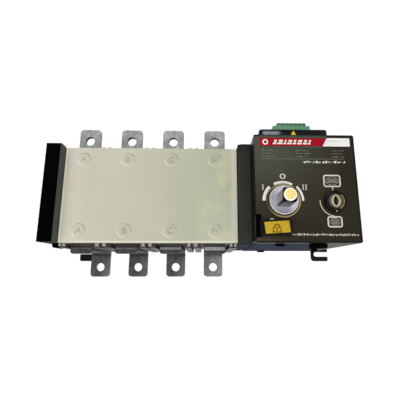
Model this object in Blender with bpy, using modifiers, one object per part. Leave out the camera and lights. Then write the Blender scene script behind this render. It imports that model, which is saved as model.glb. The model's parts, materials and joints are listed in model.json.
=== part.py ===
"""Four-pole automatic transfer switch: two switch modules back to back, a motor drive box and a base.

World frame in metres: the wall is the plane Y = 0, the front looks along -Y, +Z is up and +X is to the
right of someone who faces the switch. Source I enters the front module from above, source II enters the
rear module from above, and four copper bars join both modules to the load terminals below.
"""

import math

import bmesh
import bpy
from mathutils import Matrix, Vector

# ---------------------------------------------------------------- driving dimensions
GAP = 0.0003  # clearance between pieces that touch
PAST = 0.010  # how far a cutter reaches past the material

# switch modules
PHASES = ("A", "B", "C", "N")
POLE_PITCH = 0.050
POLE_A_X = -0.139
MODULE_LEFT = -0.160
MODULE_RIGHT = 0.0363
MODULE_HALF_HEIGHT = 0.0545
PLATE_FRONT = -0.118
PLATE_THICKNESS = 0.004
FRONT_HOUSING = (-0.1137, -0.0637)
REAR_HOUSING = (-0.0634, -0.0134)
REAR_PLATE = (-0.0131, -0.0091)
CELL_HALF_WIDTH = 0.019
CELL_HALF_HEIGHT = 0.046
CELL_FLOOR = 0.0045
RIB_HALF_HEIGHT = 0.0595
RIB_TOP_FRONT = -0.100
POLE_CHANNEL_HALF = 0.016
BARRIER_SLOT = 0.003
BAR_SLOT_HALF_HEIGHT = 0.058
PLATE_EDGE = 0.0008
CLIP_WIDTH = 0.0035
CLIP_FROM_MIDDLE = 0.002
CLIP_INNER_Z = 0.0535
CLIP_TOP = 0.0557
CLIP_BOTTOM = -0.058
CLIP_BACK = -0.1125
MARK_RADIUS = 0.008
MARK_DEPTH = 0.0005
MARK_ROWS = (0.0405, -0.041)

# copper
BAR_WIDTH = 0.025
BAR_THICKNESS = 0.005
FRONT_BAR_Y = -0.1024
REAR_BAR_Y = -0.0295
TERMINAL_TOP = 0.0833
TERMINAL_HOLE_Z = 0.0685
TERMINAL_INNER_Z = 0.014
LOAD_TIP_Z = -0.092
LOAD_HOLE_Z = -0.0797
LOAD_LEG_TIP_Z = -0.0654
LOAD_WEB_TOP = -0.0572
BOLT_HOLE_RADIUS = 0.0055
CORNER_RADIUS = 0.003

# contact rotors
FRONT_ROTOR_Y = -0.0831
REAR_ROTOR_Y = -0.0438
ROTOR_RADIUS = 0.005
BLADE_LENGTH = 0.034
BLADE_THICKNESS = 0.004
BLADE_WIDTH = 0.012
ROTOR_LEFT = -0.172
LEVER_X = (0.062, 0.066)
LEVER_HALF_WIDTH = 0.004
LEVER_PIN_RADIUS = 0.0025

# left end frame and the spacer between the modules and the drive box
END_FRAME_LEFT = -0.1760
END_FRAME_FRONT = -0.1323
END_LIP_LEFT = -0.1655
END_LIP_BACK = -0.100
END_LIP_Z = (-0.0600, -0.0500)
END_LIP_CORNER = 0.003
SPACER_RIGHT = 0.0508
SPACER_TOP = 0.0566
SPACER_FRONT = -0.128
SPACER_STEP = 0.003
SPACER_STEP_DEPTH = 0.0015
SPACER_WALL = 0.002

# drive box
BOX_LEFT = 0.0511
BOX_RIGHT = 0.1593
BOX_BOTTOM = -0.0568
BOX_TOP = 0.0589
BOX_FRONT = -0.150
COVER_BACK = -0.120
COVER_WALL = 0.0016
COVER_CORNER = 0.002
COVER_LIP_HEIGHT = 0.0025
FACE_THICKNESS = 0.003
CHASSIS_SHEET = 0.0015
CHASSIS_FRONT = -0.1455
CHASSIS_BACK = -0.0033
CHASSIS_BORE_RADIUS = 0.0075
CHASSIS_WINDOW_HALF = 0.024
SCREW_X = 0.0775
SCREW_FRONT_Y = -0.138
SCREW_REAR_Y = -0.018
SCREW_HEAD_RADIUS = 0.0052
SCREW_HEAD_HEIGHT = 0.0020
LATCH_X = (0.1085, 0.1240)
LATCH_Y = (-0.148, -0.134)
LATCH_HEIGHT = 0.0045
SMALL_EDGE = 0.001

# dial, drive shaft and gears
DIAL_X = 0.0802
DIAL_Z = -0.0134
DIAL_HOLE_RADIUS = 0.0163
RING_RADIUS = 0.0179
RING_HEIGHT = 0.0016
CUP_WALL = 0.0022
CUP_DEPTH = 0.009
CUP_FLOOR = 0.002
DISC_RADIUS = 0.015
DISC_FRONT = -0.155
DISC_BACK = -0.1475
DISC_DISH = 0.0012
SQUARE_BAR = 0.014
SQUARE_TURN = math.radians(4)
SHAFT_TIP = -0.180
TIP_RADIUS = 0.0062
TIP_LENGTH = 0.002
SHAFT_RADIUS = 0.005
SHAFT_BACK = -0.020
DRUM_RADIUS = 0.009
DRUM_HALF_LENGTH = 0.010
GEAR_Y = (-0.118, -0.112)
GEAR_TEETH = 24
GEAR_RADIUS = 0.0245
PINION_TEETH = 8
PINION_RADIUS = 0.008
TOOTH_DEPTH = 0.0022
GEAR_CENTRES = 0.033
MOTOR_RADIUS = 0.017
MOTOR_Y = (-0.1057, -0.055)
MOTOR_BLOCK = 0.008
MOTOR_BLOCK_BACK = -0.048
MOTOR_SHAFT_RADIUS = 0.003
MOTOR_SHAFT_Y = (-0.1195, -0.1062)
FRONT_CARRIER_Y = (-0.1087, -0.106)
REAR_CARRIER_Y = (-0.028, -0.0253)
CARRIER_X = (0.0551, 0.1548)
CARRIER_Z = (-0.052, 0.040)
SWITCHES_X = (0.070, 0.094)
SWITCHES_Y = (-0.100, -0.030)
SWITCHES_Z = (0.006, 0.020)

# key lock
LOCK_X = 0.1334
LOCK_Z = -0.0142
LOCK_BEZEL_RADIUS = 0.0112
LOCK_BARREL_RADIUS = 0.0093
KEY_RADIUS = 0.0080
LOCK_FRONT = -0.1538
LOCK_BACK = -0.131
KEY_BACK = -0.128
KEYWAY_HALF_WIDTH = 0.0011
KEYWAY_HALF_HEIGHT = 0.0035
KEYWAY_DEPTH = 0.008
CAM_HALF_WIDTH = 0.004
CAM_Y = (-0.1305, -0.1275)
CAM_REACH = 0.016

# padlock hasp
NOTCH_RIGHT = 0.0568
NOTCH_Z = (-0.051, -0.0276)
NOTCH_BACK = -0.146
HASP_TAB_X = (0.0568, 0.088)
HASP_TAB_Z = (-0.0498, -0.0337)
HASP_TAB_THICKNESS = 0.0032
HASP_TAB_CORNER = 0.0035
HASP_BLADE_X = (0.0548, 0.0565)
HASP_BLADE_BACK = -0.130
HASP_HOLE_RADIUS = 0.0038
HASP_HOLE_Y = -0.140

# control terminal on top of the box
SHROUD_X = (0.0632, 0.1445)
SHROUD_Y = (-0.118, -0.073)
SHROUD_TOP = 0.0804
SHROUD_WALL = 0.0022
SHROUD_CORNER = 0.003
PLUG_CENTRE_X = 0.1059
PLUG_Y = (-0.103, -0.088)
PLUG_WAYS = 7
PLUG_PITCH = 0.00508
PLUG_BODY_Z = (0.0793, 0.0908)
PLUG_TOP = 0.0944
PLUG_WELL_Z = 0.0923
PLUG_WELL_RADIUS = 0.0016
PLUG_WELL_DEPTH = 0.004
PLUG_ENTRY_Y = -0.092
PLUG_ENTRY_RADIUS = 0.0015
PLUG_ENTRY_DEPTH = 0.006
SOCKET_FLOOR = 0.066
SOCKET_WALL = 0.002
BOARD_X = (0.062, 0.150)
BOARD_Y = (-0.118, -0.072)
BOARD_Z = (0.046, 0.0476)

# base
BASE_THICKNESS = 0.003
BASE_X = (-0.152, 0.1397)
BASE_HALF_HEIGHT = 0.053
FOOT_OUTER = 0.1763
FOOT_INNER = 0.1525
FOOT_Z = (0.052, 0.0711)
FOOT_SLOT_WIDTH = 0.0065
FOOT_SLOT_INNER = {1: 0.0582, -1: 0.0550}
FOOT_SLOT_DEPTH = 0.0165
FOOT_TONGUE_Z = (0.030, 0.054)
FOOT_TONGUE_TIP = 0.158
FOOT_CORNER = 0.0022
FOOT_HEEL_CORNER = 0.0042
RAIL_X = (-0.150, 0.030)
RAIL_Z = (0.030, 0.046)

POLES = [(phase, POLE_A_X + index * POLE_PITCH) for index, phase in enumerate(PHASES)]
POLE_GAPS = [x + POLE_PITCH / 2 for _, x in POLES[:-1]]


# ---------------------------------------------------------------- scene and helpers
for old in list(bpy.data.objects):
    bpy.data.objects.remove(old, do_unlink=True)

PARTS = bpy.data.collections.new("automatic_transfer_switch")
CUTTERS = bpy.data.collections.new("cutters")
bpy.context.scene.collection.children.link(PARTS)
bpy.context.scene.collection.children.link(CUTTERS)


def paint(name, colour, roughness, metallic=0.0):
    """A Principled material with one colour."""
    material = bpy.data.materials.new(name)
    material.use_nodes = True
    shader = material.node_tree.nodes["Principled BSDF"]
    shader.inputs["Base Color"].default_value = (*colour, 1.0)
    shader.inputs["Roughness"].default_value = roughness
    shader.inputs["Metallic"].default_value = metallic
    material.diffuse_color = (*colour, 1.0)
    return material


CREAM = paint("cream_plastic", (0.60, 0.57, 0.45), 0.5)
HOUSING = paint("dark_grey_moulding", (0.045, 0.045, 0.043), 0.55)
BLACK = paint("black_plastic", (0.012, 0.012, 0.013), 0.35)
FACE = paint("olive_black_face", (0.045, 0.043, 0.032), 0.45)
GLOSS_BLACK = paint("gloss_black", (0.008, 0.009, 0.014), 0.12)
TIN = paint("tinned_copper", (0.42, 0.42, 0.40), 0.38, 1.0)
STEEL = paint("galvanised_steel", (0.45, 0.46, 0.46), 0.42, 1.0)
BLUE_STEEL = paint("blue_grey_steel", (0.10, 0.11, 0.14), 0.45, 0.3)
BLACK_STEEL = paint("black_steel", (0.015, 0.015, 0.017), 0.4, 0.3)
BRIGHT = paint("bright_steel", (0.66, 0.64, 0.68), 0.22, 1.0)
GOLD = paint("yellow_zinc", (0.42, 0.36, 0.17), 0.35, 1.0)
GREEN = paint("green_terminal", (0.10, 0.32, 0.16), 0.5)
BOARD = paint("board_green", (0.02, 0.14, 0.06), 0.5)
ROTOR = paint("rotor_moulding", (0.16, 0.05, 0.03), 0.5)


def add(name, bm, location, material):
    """A new object from a bmesh, in the parts collection."""
    mesh = bpy.data.meshes.new(name)
    bmesh.ops.recalc_face_normals(bm, faces=bm.faces)
    bm.to_mesh(mesh)
    bm.free()
    obj = bpy.data.objects.new(name, mesh)
    obj.location = location
    PARTS.objects.link(obj)
    if material:
        mesh.materials.append(material)
    return obj


def guide(obj):
    """Turns an object into a hidden cutter."""
    PARTS.objects.unlink(obj)
    CUTTERS.objects.link(obj)
    obj.display_type = "WIRE"
    obj.hide_render = True
    return obj


def combine(target, tool, operation):
    modifier = target.modifiers.new(operation.lower(), "BOOLEAN")
    modifier.operation = operation
    modifier.solver = "EXACT"
    modifier.object = guide(tool)
    return target


def cut(target, tool):
    return combine(target, tool, "DIFFERENCE")


def fuse(target, tool):
    return combine(target, tool, "UNION")


def bevel(obj, width, segments=2):
    """Rounds every edge sharper than 30 degrees."""
    modifier = obj.modifiers.new("bevel", "BEVEL")
    modifier.width = width
    modifier.segments = segments
    modifier.limit_method = "ANGLE"
    modifier.angle_limit = math.radians(30)
    return obj


def block(name, x, y, z, material=None):
    """A rectangular block between two coordinates on each axis."""
    low = Vector((min(x), min(y), min(z)))
    high = Vector((max(x), max(y), max(z)))
    bm = bmesh.new()
    bmesh.ops.create_cube(bm, size=1.0)
    bmesh.ops.scale(bm, vec=high - low, verts=bm.verts)
    return add(name, bm, (low + high) / 2, material)


def blocks(name, ranges):
    """Several separate blocks in one mesh, to cut or to join in one step."""
    bm = bmesh.new()
    for x, y, z in ranges:
        low = Vector((min(x), min(y), min(z)))
        high = Vector((max(x), max(y), max(z)))
        place = Matrix.Translation((low + high) / 2) @ Matrix.Diagonal((*(high - low), 1.0))
        bmesh.ops.create_cube(bm, size=1.0, matrix=place)
    return add(name, bm, (0, 0, 0), None)


AXIS_TURN = {
    "X": Matrix.Rotation(math.pi / 2, 4, "Y"),
    "Y": Matrix.Rotation(math.pi / 2, 4, "X"),
    "Z": Matrix.Identity(4),
}


def cylinders(name, axis, items, material=None, segments=24):
    """Separate cylinders along one axis, each given as (centre, radius, length)."""
    bm = bmesh.new()
    for centre, radius, length in items:
        place = Matrix.Translation(centre) @ AXIS_TURN[axis]
        bmesh.ops.create_cone(
            bm, cap_ends=True, segments=segments, radius1=radius, radius2=radius, depth=length, matrix=place
        )
    return add(name, bm, (0, 0, 0), material)


def rod(name, axis, start, end, across, radius, material=None, segments=24):
    """One cylinder from start to end along an axis, with its centre line through the two 'across' values."""
    middle = (start + end) / 2
    centre = {
        "X": Vector((middle, *across)),
        "Y": Vector((across[0], middle, across[1])),
        "Z": Vector((*across, middle)),
    }[axis]
    obj = cylinders(name, axis, [(Vector(), radius, abs(end - start))], material, segments)
    obj.location = centre
    return obj


def turned(name, x, z, profile, material, steps=32, closed=False):
    """A turned piece about a line along Y, from a profile of (radius, y) that starts at the front."""
    bm = bmesh.new()
    verts = [bm.verts.new((radius, 0.0, -y)) for radius, y in profile]
    for first, second in zip(verts, verts[1:]):
        bm.edges.new((first, second))
    if closed:
        bm.edges.new((verts[-1], verts[0]))
    mesh = bpy.data.meshes.new(name)
    bm.to_mesh(mesh)
    bm.free()
    obj = bpy.data.objects.new(name, mesh)
    PARTS.objects.link(obj)
    mesh.materials.append(material)
    obj.location = (x, 0.0, z)
    obj.rotation_euler = (math.pi / 2, 0.0, 0.0)
    screw = obj.modifiers.new("turn", "SCREW")
    screw.axis = "Z"
    screw.steps = steps
    screw.render_steps = steps
    screw.use_merge_vertices = True
    screw.merge_threshold = 0.00001
    screw.use_smooth_shade = True
    return obj


def toothed(name, x, z, y, radius, teeth, material):
    """A spur wheel about a line along Y: every second pair of rim points is drawn in by the tooth depth."""
    bm = bmesh.new()
    points = teeth * 4
    bmesh.ops.create_cone(
        bm, cap_ends=True, segments=points, radius1=radius, radius2=radius, depth=abs(y[1] - y[0]),
        matrix=AXIS_TURN["Y"],
    )
    for vert in bm.verts:
        turn = math.atan2(vert.co.z, vert.co.x) / (2 * math.pi) * points
        if round(turn) % 4 in (0, 1):
            flat = Vector((vert.co.x, 0.0, vert.co.z))
            vert.co -= flat.normalized() * TOOTH_DEPTH
    return add(name, bm, (x, sum(y) / 2, z), material)


def round_edges(obj, axis, radius, keep, segments=4):
    """Rounds the edges of a block that run along one axis and whose middle passes the keep test."""
    bm = bmesh.new()
    bm.from_mesh(obj.data)
    index = "XYZ".index(axis)
    chosen = []
    for edge in bm.edges:
        along = (edge.verts[0].co - edge.verts[1].co).normalized()
        middle = (edge.verts[0].co + edge.verts[1].co) / 2 + Vector(obj.location)
        if abs(along[index]) > 0.99 and keep(middle):
            chosen.append(edge)
    bmesh.ops.bevel(bm, geom=chosen, offset=radius, segments=segments, affect="EDGES", profile=0.5)
    bm.to_mesh(obj.data)
    bm.free()
    return obj


# ---------------------------------------------------------------- copper
def bolt_hole(name, x, y, z):
    return rod(name, "Y", y - PAST, y + BAR_THICKNESS + PAST, (x, z), BOLT_HOLE_RADIUS, segments=20)


def source_terminal(name, pole_x, y):
    """A flat bar that leaves the top of a module, with rounded corners and one bolt hole."""
    half = BAR_WIDTH / 2
    x = (pole_x - half, pole_x + half)
    bar = block(name, x, (y, y + BAR_THICKNESS), (TERMINAL_INNER_Z, TERMINAL_TOP), TIN)
    round_edges(bar, "Y", CORNER_RADIUS, lambda middle: middle.z > TERMINAL_HOLE_Z)
    return cut(bar, bolt_hole(name + "_hole", pole_x, y, TERMINAL_HOLE_Z))


def load_bar(name, pole_x):
    """A flat bar that leaves the bottom of the rear module and ends in the load terminal."""
    half = BAR_WIDTH / 2
    x = (pole_x - half, pole_x + half)
    bar = block(name, x, (REAR_BAR_Y, REAR_BAR_Y + BAR_THICKNESS), (LOAD_TIP_Z, -TERMINAL_INNER_Z), TIN)
    round_edges(bar, "Y", CORNER_RADIUS, lambda middle: middle.z < LOAD_HOLE_Z)
    return cut(bar, bolt_hole(name + "_hole", pole_x, REAR_BAR_Y, LOAD_HOLE_Z))


def load_link(name, pole_x):
    """The leg that leaves the bottom of the front module and runs back to the load bar."""
    half = BAR_WIDTH / 2
    x = (pole_x - half, pole_x + half)
    leg_y = (FRONT_BAR_Y, FRONT_BAR_Y + BAR_THICKNESS)
    leg = block(name, x, leg_y, (LOAD_LEG_TIP_Z, -TERMINAL_INNER_Z), TIN)
    round_edges(leg, "Y", CORNER_RADIUS, lambda middle: middle.z < LOAD_WEB_TOP)
    web_y = (FRONT_BAR_Y + BAR_THICKNESS / 2, REAR_BAR_Y - GAP)
    return fuse(leg, block(name + "_web", x, web_y, (LOAD_WEB_TOP - BAR_THICKNESS, LOAD_WEB_TOP)))


# ---------------------------------------------------------------- switch modules
def pole_housing(name, index, y, floor_y, bar_y, rotor_y):
    """The moulded body of one pole: an open cell, bar slots above and below, and a rib at each side."""
    edges = (MODULE_LEFT - GAP / 2, *POLE_GAPS, MODULE_RIGHT + GAP / 2)
    x = (edges[index] + GAP / 2, edges[index + 1] - GAP / 2)
    pole_x = POLES[index][1]
    body = block(name, x, y, (-RIB_HALF_HEIGHT, RIB_HALF_HEIGHT), HOUSING)
    cell_x = (pole_x - CELL_HALF_WIDTH, pole_x + CELL_HALF_WIDTH)
    cut(body, block(name + "_cell", cell_x, floor_y, (-CELL_HALF_HEIGHT, CELL_HALF_HEIGHT)))
    slot = BAR_WIDTH / 2 + GAP
    slot_y = (bar_y - GAP, bar_y + BAR_THICKNESS + GAP)
    slot_z = (-BAR_SLOT_HALF_HEIGHT, BAR_SLOT_HALF_HEIGHT)
    cut(body, block(name + "_bar_slot", (pole_x - slot, pole_x + slot), slot_y, slot_z))
    past_y = (y[0] - PAST, y[1] + PAST)
    trims = []
    for side in (-1, 1):
        z = (side * MODULE_HALF_HEIGHT, side * (RIB_HALF_HEIGHT + PAST))
        trims.append(((pole_x - POLE_CHANNEL_HALF, pole_x + POLE_CHANNEL_HALF), past_y, z))
        for gap_x in POLE_GAPS:
            trims.append(((gap_x - BARRIER_SLOT / 2, gap_x + BARRIER_SLOT / 2), past_y, z))
    cut(body, blocks(name + "_trims", trims))
    bore = ROTOR_RADIUS + 2 * GAP
    return cut(body, rod(name + "_bore", "X", x[0] - PAST, x[1] + PAST, (rotor_y, 0.0), bore))


def clip_room(name):
    """Cutters that set a front pole's ribs back, behind the front plate's clips below and further above."""
    x = (MODULE_LEFT - PAST, MODULE_RIGHT + PAST)
    outer = RIB_HALF_HEIGHT + PAST
    below = (x, (FRONT_HOUSING[0] - PAST, CLIP_BACK + GAP), (-outer, -MODULE_HALF_HEIGHT))
    above = (x, (FRONT_HOUSING[0] - PAST, RIB_TOP_FRONT), (MODULE_HALF_HEIGHT, outer))
    return blocks(name + "_clip_room", [below, above])


def front_plate():
    """The cream front of the switch, with a round recess for each phase mark and small clips."""
    x = (MODULE_LEFT, MODULE_RIGHT)
    y = (PLATE_FRONT, PLATE_FRONT + PLATE_THICKNESS)
    plate = block("front_plate", x, y, (-MODULE_HALF_HEIGHT, MODULE_HALF_HEIGHT), CREAM)
    bevel(plate, PLATE_EDGE)
    clip_y = (PLATE_FRONT + PLATE_EDGE, CLIP_BACK)
    clips = []
    for gap_x in POLE_GAPS:
        for side in (-1, 1):
            inner = gap_x + side * CLIP_FROM_MIDDLE
            clip_x = (inner, inner + side * CLIP_WIDTH)
            clips.append((clip_x, clip_y, (CLIP_INNER_Z, CLIP_TOP)))
            clips.append((clip_x, clip_y, (-CLIP_INNER_Z, CLIP_BOTTOM)))
    fuse(plate, blocks("front_plate_clips", clips))
    under_x = (MODULE_LEFT - PAST, MODULE_RIGHT + PAST)
    under_z = MODULE_HALF_HEIGHT + GAP
    cut(plate, block("front_plate_under_clips", under_x, (y[1], CLIP_BACK + PAST), (-under_z, under_z)))
    marks = []
    for _, pole_x in POLES:
        for row in MARK_ROWS:
            marks.append((Vector((pole_x, PLATE_FRONT, row)), MARK_RADIUS, 2 * MARK_DEPTH))
    return cut(plate, cylinders("front_plate_marks", "Y", marks, segments=20))


def rear_plate():
    x = (MODULE_LEFT, MODULE_RIGHT)
    return block("rear_plate", x, REAR_PLATE, (-MODULE_HALF_HEIGHT, MODULE_HALF_HEIGHT), HOUSING)


def rotor(name, y):
    """A contact rotor about a line along X: one blade for each pole and a lever that the drum drives."""
    shaft = rod(name, "X", ROTOR_LEFT, LEVER_X[1], (y, 0.0), ROTOR_RADIUS, ROTOR, segments=16)
    half = BLADE_THICKNESS / 2
    blades = []
    for _, pole_x in POLES:
        blade_x = (pole_x - BLADE_WIDTH / 2, pole_x + BLADE_WIDTH / 2)
        blades.append((blade_x, (y - half, y + half), (0.0, BLADE_LENGTH)))
    lever_y = (y - LEVER_HALF_WIDTH, y + LEVER_HALF_WIDTH)
    blades.append((LEVER_X, lever_y, (DIAL_Z - LEVER_HALF_WIDTH, 0.0)))
    fuse(shaft, blocks(name + "_blades", blades))
    pin_start = sum(LEVER_X) / 2
    pin_end = DIAL_X - DRUM_RADIUS - 2 * GAP
    pin = rod(name + "_pin", "X", pin_start, pin_end, (y, DIAL_Z), LEVER_PIN_RADIUS, segments=12)
    return fuse(shaft, pin)


def end_frame():
    """The black end bar, which stands proud of the front plate, with a small lip below."""
    x = (END_FRAME_LEFT, MODULE_LEFT - GAP)
    bar_z = (-MODULE_HALF_HEIGHT, MODULE_HALF_HEIGHT)
    frame = block("end_frame", x, (END_FRAME_FRONT, CHASSIS_BACK), bar_z, BLACK)
    lip = block("end_frame_lip", (END_LIP_LEFT, x[1]), (PLATE_FRONT, END_LIP_BACK), END_LIP_Z)
    lip_middle = (END_LIP_LEFT + x[1]) / 2
    round_edges(lip, "Y", END_LIP_CORNER, lambda m: m.x < lip_middle and m.z < -MODULE_HALF_HEIGHT)
    fuse(frame, lip)
    sockets = []
    for y in (FRONT_ROTOR_Y, REAR_ROTOR_Y):
        depth = 2 * (MODULE_LEFT - ROTOR_LEFT + GAP)
        sockets.append((Vector((MODULE_LEFT, y, 0.0)), ROTOR_RADIUS + 2 * GAP, depth))
    return cut(frame, cylinders("end_frame_sockets", "X", sockets, segments=16))


def spacer_cover():
    """The dark front of the spacer, with a step beside the cream plate."""
    left = MODULE_RIGHT + GAP
    x = (left, SPACER_RIGHT)
    z = (-MODULE_HALF_HEIGHT, SPACER_TOP)
    cover = block("spacer_cover", x, (SPACER_FRONT, SPACER_FRONT + SPACER_STEP), z, FACE)
    step_x = (left - PAST, left + SPACER_STEP)
    step_y = (SPACER_FRONT - PAST, SPACER_FRONT + SPACER_STEP_DEPTH)
    return cut(cover, block("spacer_cover_step", step_x, step_y, (z[0] - PAST, z[1] + PAST)))


def spacer_frame():
    """A steel sleeve between the modules and the drive box, open at both ends for the rotors."""
    x = (MODULE_RIGHT + GAP, SPACER_RIGHT)
    y = (SPACER_FRONT + SPACER_STEP + GAP, REAR_PLATE[1])
    z = (BOX_BOTTOM + GAP, SPACER_TOP)
    frame = block("spacer_frame", x, y, z, STEEL)
    inside_y = (y[0] + SPACER_WALL, y[1] - SPACER_WALL)
    inside_z = (z[0] + SPACER_WALL, z[1] - SPACER_WALL)
    return cut(frame, block("spacer_frame_inside", (x[0] - PAST, x[1] + PAST), inside_y, inside_z))


# ---------------------------------------------------------------- drive box
def front_cover():
    """The drive box's front cover: a face with walls on three sides and only a lip below."""
    x = (BOX_LEFT, BOX_RIGHT)
    z = (BOX_BOTTOM, BOX_TOP)
    cover = block("front_cover", x, (BOX_FRONT, COVER_BACK), z, FACE)
    round_edges(cover, "Y", COVER_CORNER, lambda middle: True, 3)
    inside_x = (x[0] + COVER_WALL, x[1] - COVER_WALL)
    inside_y = (BOX_FRONT + FACE_THICKNESS, COVER_BACK + PAST)
    cut(cover, block("front_cover_inside", inside_x, inside_y, (z[0] + COVER_WALL, z[1] - COVER_WALL)))
    below_x = (x[0] - PAST, x[1] + PAST)
    below_y = (BOX_FRONT + FACE_THICKNESS + SMALL_EDGE, COVER_BACK + PAST)
    cut(cover, block("front_cover_below", below_x, below_y, (z[0] - PAST, z[0] + COVER_LIP_HEIGHT)))
    holes = [
        (Vector((DIAL_X, BOX_FRONT, DIAL_Z)), DIAL_HOLE_RADIUS, PAST),
        (Vector((LOCK_X, BOX_FRONT, LOCK_Z)), LOCK_BARREL_RADIUS + GAP, PAST),
    ]
    cut(cover, cylinders("front_cover_holes", "Y", holes, segments=32))
    notch_x = (x[0] - PAST, NOTCH_RIGHT)
    return cut(cover, block("front_cover_notch", notch_x, (BOX_FRONT - PAST, NOTCH_BACK), NOTCH_Z))


def chassis():
    """The galvanised box behind the cover, open at the front and below."""
    x = (BOX_LEFT + COVER_WALL + GAP, BOX_RIGHT - COVER_WALL - GAP)
    z = (BOX_BOTTOM + CHASSIS_SHEET + GAP, BOX_TOP - COVER_WALL - GAP)
    box = block("chassis", x, (CHASSIS_FRONT, CHASSIS_BACK), z, STEEL)
    inside_x = (x[0] + CHASSIS_SHEET, x[1] - CHASSIS_SHEET)
    inside_y = (CHASSIS_FRONT - PAST, CHASSIS_BACK - CHASSIS_SHEET)
    cut(box, block("chassis_inside", inside_x, inside_y, (z[0] - PAST, z[1] - CHASSIS_SHEET)))
    window_x = (PLUG_CENTRE_X - CHASSIS_WINDOW_HALF, PLUG_CENTRE_X + CHASSIS_WINDOW_HALF)
    window_y = (PLUG_Y[0] - SMALL_EDGE, PLUG_Y[1] + SMALL_EDGE)
    cut(box, block("chassis_window", window_x, window_y, (z[1] - PAST, z[1] + PAST)))
    bores = [(Vector((x[0], y, 0.0)), CHASSIS_BORE_RADIUS, PAST) for y in (FRONT_ROTOR_Y, REAR_ROTOR_Y)]
    return cut(box, cylinders("chassis_bores", "X", bores, segments=16))


def bottom_plate():
    x = (BOX_LEFT + COVER_WALL + GAP, BOX_RIGHT - COVER_WALL - GAP)
    z = (BOX_BOTTOM, BOX_BOTTOM + CHASSIS_SHEET)
    return block("bottom_plate", x, (CHASSIS_FRONT, CHASSIS_BACK), z, BLUE_STEEL)


def bottom_screw(name, y):
    """A pan-head screw under the bottom plate."""
    top = BOX_BOTTOM - GAP
    start = top - SCREW_HEAD_HEIGHT
    head = rod(name, "Z", start, top, (SCREW_X, y), SCREW_HEAD_RADIUS, BLACK_STEEL, segments=20)
    return bevel(head, SMALL_EDGE)


def cover_latch():
    """The black catch that holds the cover's lower lip."""
    top = BOX_BOTTOM - GAP
    return bevel(block("cover_latch", LATCH_X, LATCH_Y, (top - LATCH_HEIGHT, top), BLACK), SMALL_EDGE)


def dial_ring():
    """The thin gold ring round the dial."""
    back = BOX_FRONT - GAP
    front = back - RING_HEIGHT
    profile = [(DIAL_HOLE_RADIUS, front), (RING_RADIUS, front), (RING_RADIUS, back), (DIAL_HOLE_RADIUS, back)]
    return turned("dial_ring", DIAL_X, DIAL_Z, profile, GOLD, steps=40, closed=True)


def dial_cup():
    """A black cup behind the dial that closes the box around the shaft."""
    front = BOX_FRONT + FACE_THICKNESS + GAP
    floor = front + CUP_DEPTH
    back = floor + CUP_FLOOR
    wall = DIAL_HOLE_RADIUS + CUP_WALL
    throat = SHAFT_RADIUS + 2 * GAP
    profile = [
        (DIAL_HOLE_RADIUS, front), (wall, front), (wall, back), (throat, back), (throat, floor),
        (DIAL_HOLE_RADIUS, floor),
    ]
    return turned("dial_cup", DIAL_X, DIAL_Z, profile, BLACK, steps=32, closed=True)


def drive_shaft():
    """The dial disc with its square bar for the handle, the drive gear and one drum for each rotor."""
    dish = DISC_FRONT + DISC_DISH
    profile = [
        (0.0, dish), (DISC_RADIUS - 4 * DISC_DISH, dish), (DISC_RADIUS - DISC_DISH, DISC_FRONT),
        (DISC_RADIUS, DISC_FRONT + DISC_DISH / 2), (DISC_RADIUS, DISC_BACK), (SHAFT_RADIUS, DISC_BACK),
    ]
    for drum_y in (FRONT_ROTOR_Y, REAR_ROTOR_Y):
        start = drum_y - DRUM_HALF_LENGTH
        end = drum_y + DRUM_HALF_LENGTH
        profile += [(SHAFT_RADIUS, start), (DRUM_RADIUS, start), (DRUM_RADIUS, end), (SHAFT_RADIUS, end)]
    profile += [(SHAFT_RADIUS, SHAFT_BACK), (0.0, SHAFT_BACK)]
    shaft = turned("drive_shaft", DIAL_X, DIAL_Z, profile, BRIGHT, steps=32)
    half = SQUARE_BAR / 2
    square_front = SHAFT_TIP + TIP_LENGTH
    square = block("drive_shaft_square", (-half, half), (square_front, dish + SMALL_EDGE), (-half, half))
    bevel(square, SMALL_EDGE, 1)
    square.location = (DIAL_X, square.location.y, DIAL_Z)
    square.rotation_euler = (0.0, SQUARE_TURN, 0.0)
    fuse(shaft, square)
    tip_back = square_front + SMALL_EDGE
    fuse(shaft, rod("drive_shaft_tip", "Y", SHAFT_TIP, tip_back, (DIAL_X, DIAL_Z), TIP_RADIUS))
    return fuse(shaft, toothed("drive_shaft_gear", DIAL_X, DIAL_Z, GEAR_Y, GEAR_RADIUS, GEAR_TEETH, None))


def motor_pinion():
    """The motor's small wheel on its shaft."""
    x = DIAL_X + GEAR_CENTRES
    pinion = toothed("motor_pinion", x, DIAL_Z, GEAR_Y, PINION_RADIUS, PINION_TEETH, BRIGHT)
    shaft = rod("motor_pinion_shaft", "Y", *MOTOR_SHAFT_Y, (x, DIAL_Z), MOTOR_SHAFT_RADIUS, segments=16)
    return fuse(pinion, shaft)


def motor():
    """The drive motor behind the front carrier plate, with a terminal block on its back."""
    x = DIAL_X + GEAR_CENTRES
    body = rod("motor", "Y", *MOTOR_Y, (x, DIAL_Z), MOTOR_RADIUS, BLACK_STEEL, segments=28)
    block_x = (x - MOTOR_BLOCK, x + MOTOR_BLOCK)
    block_z = (DIAL_Z - MOTOR_BLOCK, DIAL_Z + MOTOR_BLOCK)
    return fuse(body, block("motor_block", block_x, (MOTOR_Y[1] - SMALL_EDGE, MOTOR_BLOCK_BACK), block_z))


def carrier_plate(name, y, bores):
    """A steel plate across the box that carries the drive shaft."""
    plate = block(name, CARRIER_X, y, CARRIER_Z, STEEL)
    middle = sum(y) / 2
    holes = [(Vector((bore_x, middle, DIAL_Z)), radius + 2 * GAP, PAST) for bore_x, radius in bores]
    return cut(plate, cylinders(name + "_bores", "Y", holes, segments=20))


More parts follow.
